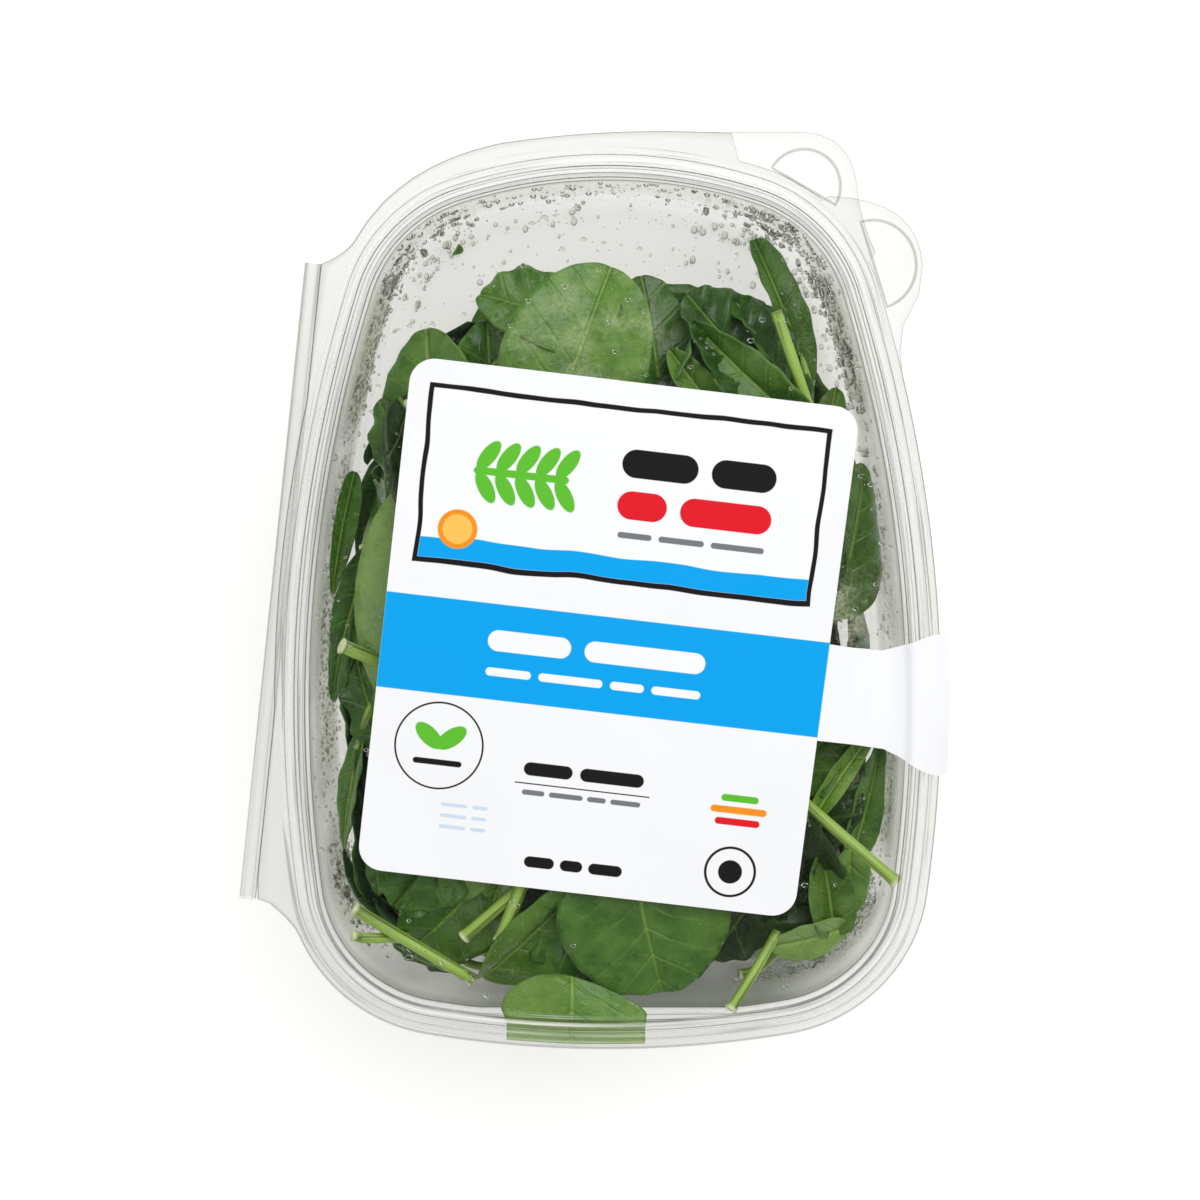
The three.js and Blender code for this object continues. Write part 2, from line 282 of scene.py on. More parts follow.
def tube(bm, path, radii, sides, mark=None):
    """Extrudes a circle along a path and closes both ends. Gives the new vertices."""
    spots = [Vector(p) for p in path]
    ways = [(b - a).normalized() for a, b in zip(spots, spots[1:])]
    ways = [ways[0]] + [(a + b).normalized() for a, b in zip(ways, ways[1:])] + [ways[-1]]
    turn = Vector((0, 0, 1)).rotation_difference(ways[0])
    stance = Matrix.LocRotScale(spots[0], turn, Vector((radii[0],) * 3))
    ring = bmesh.ops.create_circle(bm, segments=sides, radius=1, matrix=stance)["verts"]
    edges = list({edge for vert in ring for edge in vert.link_edges})
    made = list(ring)
    bmesh.ops.contextual_create(bm, geom=edges)
    for step, (before, after) in enumerate(zip(ways, ways[1:]), 1):
        turn = before.rotation_difference(after) @ turn
        following = Matrix.LocRotScale(spots[step], turn, Vector((radii[step],) * 3))
        grown = bmesh.ops.extrude_edge_only(bm, edges=edges)["geom"]
        ring = of_kind(grown, Vert)
        new = set(ring)
        edges = [edge for edge in of_kind(grown, Edge) if set(edge.verts) <= new]
        bmesh.ops.transform(bm, matrix=following @ stance.inverted(), verts=ring)
        stance = following
        if mark:
            for vert in ring:
                mark(vert, step, following.inverted() @ vert.co)
        made += ring
    bmesh.ops.contextual_create(bm, geom=edges)
    return made


def prism(bm, outline, lift):
    """Fills an outline of points and thickens it upwards by a vector."""
    verts = [bm.verts.new(point) for point in outline]
    face = bm.faces.new(verts)
    grown = bmesh.ops.extrude_face_region(bm, geom=[face])["geom"]
    top = of_kind(grown, Vert)
    bmesh.ops.translate(bm, verts=top, vec=lift)
    return verts + top


# Shader helpers -----------------------------------------------------------------------------

class Value:
    """A socket of a finish, so that arithmetic on it adds Math nodes."""

    def __init__(self, finish, socket):
        self.finish, self.socket = finish, socket

    def math(self, operation, *others):
        values = dict(enumerate((self, *others)))
        return self.finish.node("ShaderNodeMath", {"operation": operation}, values)

    __add__ = functools.partialmethod(math, "ADD")
    __sub__ = functools.partialmethod(math, "SUBTRACT")
    __mul__ = functools.partialmethod(math, "MULTIPLY")
    __truediv__ = functools.partialmethod(math, "DIVIDE")
    __pow__ = functools.partialmethod(math, "POWER")
    __abs__ = functools.partialmethod(math, "ABSOLUTE")
    maximum = functools.partialmethod(math, "MAXIMUM")

    def ramp(self, start, stop, low=0.0, high=1.0):
        """Smoothly from low to high as this goes from start to stop."""
        settings = {"interpolation_type": "SMOOTHSTEP"}
        if start > stop:
            start, stop, low, high = stop, start, high, low
        values = {
            "Value": self, "From Min": start, "From Max": stop, "To Min": low, "To Max": high,
        }
        return self.finish.node("ShaderNodeMapRange", settings, values)


class Finish:
    """A material whose nodes are added from Python."""

    def __init__(self, name):
        self.material = bpy.data.materials.new(name)
        self.material.use_nodes = True
        self.tree = self.material.node_tree
        self.tree.nodes.clear()

    def node(self, kind, settings=None, values=None, out=0):
        """Adds a node: its settings first, then the values or links of its sockets."""
        made = self.tree.nodes.new(kind)
        for key, value in (settings or {}).items():
            setattr(made, key, value)
        for key, value in (values or {}).items():
            target = made.inputs[key]
            if isinstance(value, Value):
                self.tree.links.new(value.socket, target)
            else:
                target.default_value = value
        return Value(self, made.outputs[out])

    def place(self, size=1.0):
        """The piece's own coordinates, with a pattern of a size in millimetres to one unit."""
        where = self.node("ShaderNodeTexCoord", out="Object")
        values = {"Vector": where, "Scale": (1 / (size * MM),) * 3}
        return self.node("ShaderNodeMapping", None, values)

    def attribute(self, name, out="Vector"):
        return self.node("ShaderNodeAttribute", {"attribute_name": name}, out=out)

    def parts(self, vector):
        """The three parts of a vector."""
        x = self.node("ShaderNodeSeparateXYZ", None, {0: vector})
        return [Value(self, output) for output in x.socket.node.outputs]

    def scaled(self, vector, scale):
        values = {0: vector, "Scale": scale}
        return self.node("ShaderNodeVectorMath", {"operation": "SCALE"}, values)

    def see_through(self, shade):
        return self.node("ShaderNodeBsdfTransparent", None, {"Color": colour(shade)})

    def noise(self, where, detail=2.0, roughness=0.5):
        """Cloudy pattern over a vector, or of a size in millimetres over the piece."""
        where = where if isinstance(where, Value) else self.place(where)
        values = {"Vector": where, "Scale": 1.0, "Detail": detail, "Roughness": roughness}
        return self.node("ShaderNodeTexNoise", None, values)

    def cell_edge(self, where):
        """Distance to the nearest edge between rounded cells."""
        settings, values = {"feature": "DISTANCE_TO_EDGE"}, {"Vector": where, "Scale": 1.0}
        return self.node("ShaderNodeTexVoronoi", settings, values)

    def mix(self, factor, a, b):
        """A colour between two: they are the node's inputs 6 and 7, and its output 2."""
        values = {0: factor, 6: colour(a), 7: colour(b)}
        return self.node("ShaderNodeMix", {"data_type": "RGBA"}, values, out=2)

    def blend(self, factor, a, b):
        """A shader between two."""
        return self.node("ShaderNodeMixShader", None, {0: factor, 1: a, 2: b})

    def bump(self, height, depth):
        values = {"Height": height, "Distance": depth * MM, "Strength": 1.0}
        return self.node("ShaderNodeBump", None, values)

    def principled(self, **values):
        named = {key.replace("_", " "): value for key, value in values.items()}
        return self.node("ShaderNodeBsdfPrincipled", None, named)

    def facing(self):
        """0 where the surface looks at the eye, 1 where it is seen on edge."""
        return self.node("ShaderNodeLayerWeight", None, {"Blend": 0.5}, out="Facing")

    def done(self, surface):
        output = self.tree.nodes.new("ShaderNodeOutputMaterial")
        self.tree.links.new(surface.socket, output.inputs["Surface"])
        return self.material

    def opaque(self, **values):
        """Ends the finish as one plain surface."""
        return self.done(self.principled(**values))


def colour(value):
    return value if isinstance(value, Value) else (*value[:3], 1.0)


def srgb(red, green, blue):
    """A colour as a screen shows it, from 0 to 255, made linear."""
    return tuple(
        c / 255 / 12.92 if c <= 10 else ((c / 255 + 0.055) / 1.055) ** 2.4
        for c in (red, green, blue)
    )


# Settings a user would change ---------------------------------------------------------------

def tint(name, description, *shade):
    """A colour setting, from 0 to 255 as a screen shows it."""
    return FloatVectorProperty(
        name=name, description=description, size=3, default=srgb(*shade), subtype="COLOR",
    )


class PackSettings(bpy.types.PropertyGroup):
    """Sizes and colours of the plastic and the label."""

    rounding: FloatProperty(
        name="Bend radius", description="Softness of the formed bends", default=0.3,
    )
    clearness: FloatProperty(
        name="Clearness", description="Light that one face of the sheet lets through",
        default=0.957, min=0, max=1, subtype="FACTOR",
    )
    edge_colour: tint("Edge tint", "Tint of the sheet seen on edge", 236, 238, 231)
    # Painted shade: the dark lines along the bends stand in for the shade that refraction gives
    # there.
    bend_shade_colour: tint("Painted bend shade", "Painted shade of the lines along the sheet's bends", 136, 140, 126)
    band_colour: tint("Band", "Blue of the label's band", 0, 164, 238)


class LeafSettings(bpy.types.PropertyGroup):
    """Colours and numbers of the leaves and droplets."""

    upper_colour: tint("Upper face", "Green of a leaf's upper face", 76, 124, 20)
    under_colour: tint("Under face", "Paler green of a leaf's under face", 116, 152, 70)
    stem_colour: tint("Stem", "Yellow green of stems and midribs", 160, 196, 84)
    drops: IntProperty(
        name="Droplets", description="Droplets under the lid; the tray has five times as many",
        default=300, min=0,
    )
    seed: IntProperty(name="Seed", description="Seed of the leaves' lie", default=7, min=0)


class StageSettings(bpy.types.PropertyGroup):
    """The camera and the lights."""

    distance: FloatProperty(
        name="Camera distance", description="From the lid to the camera", default=0.8,
        unit="LENGTH",
    )
    tilt: FloatProperty(
        name="Camera tilt", description="Lean of the view from straight down",
        default=math.radians(9), subtype="ANGLE",
    )
    sky: FloatProperty(name="Sky", description="Strength of the even light", default=0.46)


# Finishes -----------------------------------------------------------------------------------

EDGE_LINE = 9.3          # offset of the painted dark line along the flange's edge
MISTED_AT = complex(67, -3)      # a wet patch of the lid, beside the label
# Misted patches of the lid, then beaded ones of the tray's walls: middle, radius, strength.
FILM_PATCHES = ((-4, 62, 30, 1.0), (MISTED_AT.real, MISTED_AT.imag, 14, 1.6))
FILM_STRENGTH = 0.13
BEAD_PATCHES = (
    (-67, 62, 26, 0.8), (80, -56, 22, 0.8), (60, -100, 26, 0.8), (-70, -84, 22, 0.5),
    (69, 66, 22, 0.5), (-86, -16, 56, 0.45), (88, 12, 36, 0.3),
)


def hypot(a, b):
    """How far away a point is that is off by a and b."""
    return (a * a + b * b).math("SQRT")


def patches(x, y, places):
    """Strength of the nearest of some soft round patches."""
    return functools.reduce(Value.maximum, [
        hypot(x - middle_x, y - middle_y).ramp(radius * 0.5, radius, strength, 0.0)
        for middle_x, middle_y, radius, strength in places
    ])


def lines_along(out, places):
    """Strength of the nearest of some lines round the mouth: offset, width and strength."""
    return functools.reduce(Value.maximum, [
        abs(out - offset).ramp(0.0, width, strength, 0.0) for offset, width, strength in places
    ])


def mist(finish):
    """Fine mist: how grainy it is from place to place, and its surface."""
    grain = finish.noise(1.1, roughness=0.7)
    shade = finish.mix(grain.ramp(0.3, 0.6), (0.45, 0.48, 0.28), (0.95, 0.97, 0.72))
    return grain, finish.principled(Base_Color=shade, Roughness=0.7)


def lid_mist(finish, surface, facing, out, x, y, z):
    """A thin film of mist, in patches under the flat panel."""
    grain, misted = mist(finish)
    cloud = finish.noise(11.0, detail=4.0, roughness=0.6)
    film = cloud.ramp(0.4, 0.65) * grain.ramp(0.35, 0.65, 0.3, 1.0) * FILM_STRENGTH
    film = film * patches(x, y, FILM_PATCHES) * out.ramp(-3.0, -1.0, 1.0, 0.0)
    return finish.blend(film, surface, misted)


def tray_mist(finish, surface, facing, out, x, y, z):
    """Mist on the walls, thicker round the beads, and a painted reflection of the leaves on the
    foot wall.
    """
    grain, misted = mist(finish)
    cloud = finish.noise(22.0, detail=4.0, roughness=0.6)
    beaded = patches(x, y, BEAD_PATCHES) * cloud.ramp(0.2, 0.45) * 0.4
    fog = cloud.ramp(0.38, 0.7) * 0.15 + beaded
    fog = fog * grain.ramp(0.25, 0.6, 0.4, 1.0) * facing.ramp(0.4, 0.85, 0.1, 1.0)
    fog = fog * z.ramp(46.0, 60.0, 1.0, 0.0) * z.ramp(3.0, 10.0)
    surface = finish.blend(fog * y.ramp(76.0, 100.0, 1.0, 0.1), surface, misted)
    # Painted reflection: the leaves' dark green seen in the foot wall, stronger where the wall is
    # seen on edge.
    painted_leaf_reflection = finish.principled(Base_Color=(0.09, 0.15, 0.05, 1), Roughness=0.4)
    foot = y.ramp(-94.0, -106.0, 0.0, 0.46) * z.ramp(2.0, 8.0)
    foot = foot * z.ramp(RIM_Z - 1, RIM_Z, 1.0, 0.0)
    foot = foot * x.ramp(-50.0, -20.0, 0.4, 1.0) * x.ramp(40.0, 60.0, 1.0, 0.4)
    return finish.blend(foot * facing.ramp(0.3, 0.7, 0.1, 1.0), surface, painted_leaf_reflection)


def clear_plastic(name, on_edge, bends, glints, misted):
    """Clear sheet: see-through, glossy, greyer on edge, with painted dark lines and painted
    glints along its bends, and misted.
    """
    look = bpy.context.scene.clamshell_pack
    finish = Finish(name)
    facing = finish.facing()
    out = finish.attribute(RING, "Fac") + AXIS
    x, y, z = finish.parts(finish.place())
    # Seen on edge the sheet is tinted, less so at the narrow end.
    clear = finish.see_through((look.clearness, look.clearness, look.clearness * 0.996))
    edge = facing ** 6.0 * y.ramp(60.0, 105.0, 1.0, 0.35)
    sheet = finish.blend(edge, clear, finish.see_through(on_edge))
    # Uneven streaks that run round the rim: they break up the painted lines and add painted dark
    # and bright streaks.
    wide_x, wide_y, _ = finish.parts(finish.place(60.0))
    drift = finish.noise(45.0, detail=1.0) - 0.5
    ringed = finish.node(
        "ShaderNodeCombineXYZ", None, {0: out * 1.7 + drift, 1: wide_x, 2: wide_y},
    )
    streak = finish.noise(ringed, roughness=0.7)
    rim = out.ramp(-0.5, 0.5) * out.ramp(8.6, 9.0, 1.0, 0.0) * z.ramp(RIM_Z - 8, RIM_Z - 2)
    # Painted dark lines along the bends and the flange's edge, which stand in for the shade that
    # refraction gives there, and the plates a little greyer, most where they meet the flange and
    # on the hinge side, least towards the foot.
    lines = lines_along(out, bends) * streak.ramp(0.25, 0.5, 0.6, 1.0)
    dark = lines.maximum(streak.ramp(0.58, 0.72) * 0.25) * rim
    dark = dark.maximum(lines_along(out, ((EDGE_LINE, 0.22, 0.3),)))
    plate = y.ramp(-90.0, 10.0, 0.045, 0.1) * x.ramp(-60.0, -40.0, 1.0, 0.6)
    plate = plate * out.ramp(FLANGE + 0.1, FLANGE + 0.6, 1.0, 0.15)
    dark = dark.maximum(out.ramp(PLATE_FROM, PLATE_FROM + 0.1) * plate)
    sheet = finish.blend(dark, sheet, finish.see_through(look.bend_shade_colour))
    # Painted glints: bright white lines beside them, for the highlights along the bends.
    glint = finish.principled(Base_Color=(1, 1, 1, 1), Roughness=0.5)
    light = lines_along(out, glints) * streak.ramp(0.6, 0.35, 0.3, 1.0)
    sheet = finish.blend(light.maximum(streak.ramp(0.42, 0.3, 0.0, 0.35)) * rim, sheet, glint)
    # Gloss of a sheet that isn't quite flat.
    normal = finish.bump(finish.noise(30.0, detail=1.0), 0.1)
    gloss = finish.principled(
        Base_Color=(1, 1, 1, 1), Metallic=1.0, Roughness=0.06, Normal=normal,
    )
    shine = finish.node("ShaderNodeFresnel", None, {"IOR": 1.5, "Normal": normal})
    surface = finish.blend(shine * 0.16, sheet, gloss)
    return finish.done(misted(finish, surface, facing, out, x, y, z))


PAINTED_SHADE_SIDE = (0.5, -0.8, 0.2)     # the side of a droplet that gets painted shade


def water(name, rim_shade):
    """Droplets: clear, shiny, with painted dark rims, shaded more on one side."""
    finish = Finish(name)
    facing = finish.facing()
    wobble = finish.noise(0.8)
    clear = finish.see_through((0.9, 0.91, 0.88))
    rim = finish.see_through(rim_shade)
    normal = finish.node("ShaderNodeNewGeometry", out="Normal")
    # Painted shade: the rims darken on edge, and most on one fixed side of each droplet.
    shade = finish.node(
        "ShaderNodeVectorMath", {"operation": "DOT_PRODUCT"}, {0: normal, 1: PAINTED_SHADE_SIDE},
        out="Value",
    )
    dark = facing.ramp(0.1, 0.7) * shade.ramp(-0.5, 0.5, 0.1, 1.0)
    body = finish.blend(dark * wobble.ramp(0.1, 0.6, 0.6, 1.0), clear, rim)
    gloss = finish.principled(Base_Color=(1, 1, 1, 1), Metallic=1.0, Roughness=0.03)
    shine = finish.node("ShaderNodeFresnel", None, {"IOR": 1.33})
    return finish.done(finish.blend(shine, body, gloss))


def leaf_green(name, under):
    """A leaf's face, with midrib, side veins and a fine net, from its own across and along."""
    look = bpy.context.scene.clamshell_leaf
    finish = Finish(name)
    place = finish.attribute("leaf_place")
    across, along, tone = finish.parts(place)
    _, u, _ = finish.parts(finish.attribute("leaf_spread"))
    wobble = finish.noise(14.0) - 0.5
    out = abs(across)
    midrib = out.ramp(0.15, 0.9, 1.0, 0.0)
    ribs = (along - out * VEIN_SLANT + out * out * 0.008) / VEIN_GAP + wobble * 0.5
    rib = abs(ribs - ribs.math("FLOOR") - 0.5) * VEIN_GAP
    side = rib.ramp(0.1, 0.75, 1.0, 0.0) * out.ramp(1.0, 18.0, 1.0, 0.25)
    mesh = finish.cell_edge(finish.scaled(place, 0.4)).ramp(0.0, 0.12, 1.0, 0.0)
    mottle = finish.noise(7.0, detail=3.0, roughness=0.6)
    shade = look.under_colour if under else look.upper_colour
    cool = tuple(c * s for c, s in zip(shade, (0.68, 0.94, 1.6)))
    drift = finish.noise(45.0, detail=0.0)
    hue = finish.mix(drift.ramp(0.4, 0.6), shade, cool)
    deep = finish.mix(mottle.ramp(0.3, 0.7, 0.6, 0.25), hue, srgb(14, 32, 10))
    # Tones below 0 darken it further, which the heap's filler leaves use partly as painted shade.
    dark = finish.mix(tone.ramp(-0.5, 0.0, 0.85, 0.0), deep, srgb(12, 30, 12))
    light = finish.mix(mottle.ramp(0.3, 0.7, 0.1, 0.5), hue, srgb(158, 190, 96))
    body = finish.mix(tone.ramp(1.0, 2.0), finish.mix(tone, dark, light), srgb(176, 204, 132))
    vein_strength = 0.4 if under else 0.1
    veined = finish.mix(side * vein_strength + mesh * 0.05, body, look.stem_colour)
    ribbed = finish.mix(midrib * u.ramp(0.2, 1.0, 0.5, 0.15), veined, look.stem_colour)
    # Painted sparkle: pale specks in wet patches, for glints of tiny droplets on the leaves.
    wet = finish.noise(20.0, detail=1.0).ramp(0.5, 0.65)
    painted_sparkle = finish.noise(0.7, detail=1.0).ramp(0.69, 0.75)
    base = finish.mix(painted_sparkle * wet * 0.4, ribbed, srgb(214, 226, 206))
    height = midrib * (1.2 if under else -1.0) + side * (0.6 if under else -0.6) - mesh * 0.12
    normal = finish.bump(height, 0.35)
    rough = mottle.ramp(0.3, 0.7, 0.24, 0.42)
    return finish.opaque(
        Base_Color=base, Roughness=rough, Normal=normal, Specular_IOR_Level=0.42,
    )


def stem_green(name):
    """A ridged stem, pale where it is cut, with painted shade in its grooves and painted
    highlights on its ridges.
    """
    look = bpy.context.scene.clamshell_leaf
    finish = Finish(name)
    _, cut, _ = finish.parts(finish.attribute("leaf_place"))
    ridges = finish.noise(finish.scaled(finish.attribute("leaf_spread"), 1.6), detail=1.0)
    # Painted shade and highlight: the colour follows the ridges' bumps, darker in the grooves and
    # paler on top.
    deep = tuple(c * 0.42 for c in look.stem_colour)
    body = finish.mix(ridges.ramp(0.35, 0.6), deep, look.stem_colour)
    base = finish.mix(cut.ramp(0.1, 0.7), body, srgb(222, 232, 180))
    return finish.opaque(
        Base_Color=base, Roughness=0.35, Normal=finish.bump(ridges, 0.35),
    )


def painted_core_shade(name):
    """The heap's inside that shows between leaves: a dark solid, painted shade for the shaded
    leaves deep in the heap.
    """
    finish = Finish(name)
    blotch = finish.noise(10.0, detail=4.0, roughness=0.6)
    base = finish.mix(blotch.ramp(0.35, 0.7), srgb(18, 30, 16), srgb(40, 62, 28))
    return finish.opaque(
        Base_Color=base, Roughness=0.6, Normal=finish.bump(blotch, 2.0),
    )


INK, GREY_INK = srgb(24, 22, 24), srgb(120, 122, 128)
PRINT_RED, PRINT_ORANGE, PRINT_GREEN = srgb(226, 26, 40), srgb(247, 148, 30), srgb(96, 190, 50)
SOFT_EDGE = 0.12     # millimetres over which a printed edge fades


class Print:
    """Lays flat shapes of ink over one another, in millimetres from the label's middle."""

    def __init__(self, finish, paper):
        self.finish = finish
        where = finish.node("ShaderNodeTexCoord", out="Object")
        middle = (LABEL.x * MM, LABEL.y * MM, 0)
        values = {"Vector": where, "Location": middle, "Rotation": (0, 0, -TURN)}
        values["Scale"] = (MM,) * 3
        local = finish.node("ShaderNodeMapping", {"vector_type": "TEXTURE"}, values)
        self.x, self.y, _ = finish.parts(local)
        shake = finish.noise(finish.scaled(local, 0.06), detail=1.0) - 0.5
        self.hand_x, self.hand_y = self.x + shake * 2.2, self.y - shake * 2.2
        self.paper = paper

    def ink(self, distance, shade):
        """Prints where a distance from a shape's edge is below zero."""
        mask = distance.ramp(-SOFT_EDGE, SOFT_EDGE, 1.0, 0.0)
        self.paper = self.finish.mix(mask, self.paper, shade)

    def box(self, x, y, half_width, half_height, corner=0.0, by_hand=False):
        px, py = (self.hand_x, self.hand_y) if by_hand else (self.x, self.y)
        dx = abs(px - x) - (half_width - corner)
        dy = abs(py - y) - (half_height - corner)
        if not corner:
            return dx.maximum(dy)
        return hypot(dx.maximum(0.0), dy.maximum(0.0)) - corner

    def disc(self, x, y, radius):
        return hypot(self.x - x, self.y - y) - radius

    def oval(self, x, y, long, short, degrees):
        angle = math.radians(degrees)
        dx, dy = self.x - x, self.y - y
        along = (dx * math.cos(angle) + dy * math.sin(angle)) / long
        across = (dy * math.cos(angle) - dx * math.sin(angle)) / short
        return (hypot(along, across) - 1.0) * short

    def bar(self, x, y, length, height, shade):
        self.ink(self.box(x, y, length / 2, height / 2, height / 2), shade)

    def bars(self, x, y, lengths, height, space, shade):
        """A centred line of round-ended bars."""
        total = sum(lengths) + space * (len(lengths) - 1)
        left = x - total / 2
        for length in lengths:
            self.bar(left + length / 2, y, length, height, shade)
            left += length + space


def label_print(name):
    """White film with a blue band, an outlined panel and plain motifs."""
    look = bpy.context.scene.clamshell_pack
    finish = Finish(name)
    white = srgb(246, 247, 249)
    grain = finish.noise(30.0)
    shaded = tuple(c * 0.975 for c in white)
    sheet = Print(finish, finish.mix(grain.ramp(0.3, 0.7), white, shaded))
    blue = look.band_colour
    sheet.ink(sheet.box(0, -6.3, LABEL.width / 2, 12.8), blue)
    # Outlined panel with a blue strip along its foot.
    sheet.ink(sheet.box(-0.4, 38.8, 52.7, 23.5, by_hand=True), INK)
    sheet.ink(sheet.box(-0.4, 38.9, 51.4, 22.1, by_hand=True), white)
    sheet.ink(sheet.box(-0.4, 19.6, 51.4, 2.8, by_hand=True), blue)
    # A sprig, a sliced round and a headline of plain bars.
    sheet.bar(-27, 41, 25, 2.0, PRINT_GREEN)
    for step in range(5):
        x = -36 + 5.2 * step
        sheet.ink(sheet.oval(x, 45.2, 4.6, 2.0, 58), PRINT_GREEN)
        sheet.ink(sheet.oval(x, 36.8, 4.6, 2.0, -58), PRINT_GREEN)
    sheet.bars(19, 47.5, [20, 17], 7.5, 3.5, INK)
    sheet.bars(19, 36.5, [13, 24], 7.5, 3.5, PRINT_RED)
    sheet.bars(19, 28.5, [9, 12, 14], 1.6, 1.8, GREY_INK)
    sheet.ink(sheet.disc(-42, 25, 5.2), PRINT_ORANGE)
    sheet.ink(sheet.disc(-42, 25, 3.9), srgb(255, 196, 92))
    # Band: two lines of plain white bars.
    sheet.bars(-2, -3.2, [22, 32], 5.6, 3.6, white)
    sheet.bars(-2, -11.6, [12, 17, 9, 13], 2.2, 2.0, white)
    # Lower left ring with a sprout.
    sheet.ink(abs(sheet.disc(-40.5, -33, 11.6)) - 0.25, INK)
    sheet.ink(sheet.oval(-43.4, -30.6, 4.6, 2.3, 140), PRINT_GREEN)
    sheet.ink(sheet.oval(-37.4, -30.6, 4.6, 2.3, 40), PRINT_GREEN)
    sheet.bar(-40.5, -37.5, 13, 1.6, INK)
    # Lower middle lines, lower right bars and dot.
    sheet.bars(-1.5, -36.4, [13, 17], 3.6, 2.0, INK)
    sheet.bar(-1.5, -40.4, 36, 0.35, INK)
    sheet.bars(-1.5, -42.8, [6, 9, 5, 8], 1.4, 1.2, GREY_INK)
    sheet.bars(-1.5, -61.5, [8, 6, 9], 3.0, 1.6, INK)
    rows = ((PRINT_GREEN, 10), (PRINT_ORANGE, 15), (PRINT_RED, 12))
    for row, (shade, long) in enumerate(rows):
        sheet.bar(40.4, -38 - 3.2 * row, long, 1.9, shade)
    sheet.ink(abs(sheet.disc(40.2, -58, 6.6)) - 0.35, INK)
    sheet.ink(sheet.disc(40.2, -58, 3.2), INK)
    for row in range(3):
        sheet.bars(-32, -48.6 - 3.0 * row, [7, 4], 1.0, 1.4, srgb(205, 222, 240))
    return finish.opaque(
        Base_Color=sheet.paper, Roughness=grain.ramp(0.3, 0.7, 0.38, 0.46),
        Normal=finish.bump(grain, 0.05), Specular_IOR_Level=0.15,
    )


def pale_floor(name):
    finish = Finish(name)
    cloud = finish.noise(400.0)
    base = finish.mix(cloud.ramp(0.2, 0.8), (0.55, 0.546, 0.538), (0.57, 0.566, 0.558))
    return finish.opaque(
        Base_Color=base, Roughness=0.9, Specular_IOR_Level=0.0,
        Emission_Color=(1, 0.992, 0.98, 1), Emission_Strength=0.59,
    )


# Flanges, hinge and finger tabs -------------------------------------------------------------

def bend(start, *curves, steps=8):
    """Points of a line of quadratic curves, each given as (control, end)."""
    made, at = [start], start
    for control, stop in curves:
        for step in range(1, steps + 1):
            t = step / steps
            made.append((1 - t) ** 2 * at + 2 * t * (1 - t) * control + t * t * stop)
        at = stop
    return made


def hinge_point(along, inward):
    return HINGE_AT + HINGE_ALONG * along + HINGE_INWARD * inward


HINGE_TOP = hinge_point(HINGE_LENGTH / 2, HINGE_BARREL)
HINGE_FOOT = hinge_point(-HINGE_LENGTH / 2, HINGE_BARREL)
PLATE_CORNERS = [HINGE_FOOT + (4 - 1.5j), HINGE_TOP]
HINGE_PLATE = (
    bend(PLATE_CORNERS[0], (-82 - 88.5j, -77.5 - 100j)) + [-50 - 90j, -50 + 80j, 20 + 100j]
    + bend(40 + 121.5j, (4 + 124.5j, -28 + 119.5j), (-54 + 114j, -65 + 95.5j),
           (-67 + 91.5j, HINGE_TOP)) + [HINGE_FOOT]
)
LID_TAB = (
    [20 + 100j, 20 + 122.4j] + bend(50 + 122.4j, (63.5 + 122j, 64.5 + 107j),
                                    (65 + 101j, 69.5 + 91j)) + [50 + 80j]
)
TRAY_TAB = (
    [40 + 90j] + bend(57 + 106j, (82 + 105.5j, 81.8 + 86j), (81.5 + 79j, 77.6 + 75j),
                      (75.5 + 69j, 76.5 + 58j)) + [60 + 58j]
)


RAY_START = 6.0          # offset from which the plates' reach is measured


def crossing(start, way, a, b):
    """How far along a ray it meets a segment, or None."""
    side = b - a
    spread = way.real * side.imag - way.imag * side.real
    if abs(spread) < 1e-9:
        return None
    gap = a - start
    far = (gap.real * side.imag - gap.imag * side.real) / spread
    share = (gap.real * way.imag - gap.imag * way.real) / spread
    return far if far > 0 and 0 <= share <= 1 else None


def plate_reach(shapes):
    """How far out the flange goes at each step round the mouth, with its plates and tab."""
    made = []
    for k in range(2 * sum(FINE)):
        start, way = MOUTH.point(k, RAY_START), MOUTH.outward(k)
        reach = FLANGE
        for shape in shapes:
            hits = [crossing(start, way, a, b) for a, b in zip(shape, shape[1:] + shape[:1])]
            hits = [hit for hit in hits if hit is not None]
            if len(hits) % 2:
                reach = max(reach, RAY_START + min(hits))
        made.append(reach)
    return made


def flanged(place, shapes, corners):
    """A placing rule whose outermost rings follow the plates, with true corners."""
    edge = {k: MOUTH.point(k, reach) for k, reach in enumerate(plate_reach(shapes))}
    for corner in corners:
        nearest = min(edge, key=lambda k: abs(edge[k] - corner))
        edge[nearest] = corner

    def placed(k, offset, z):
        if offset < PLATE_FROM:
            return place(k, offset, z)
        return edge[k] + MOUTH.outward(k) * (offset - FLANGE)

    return placed


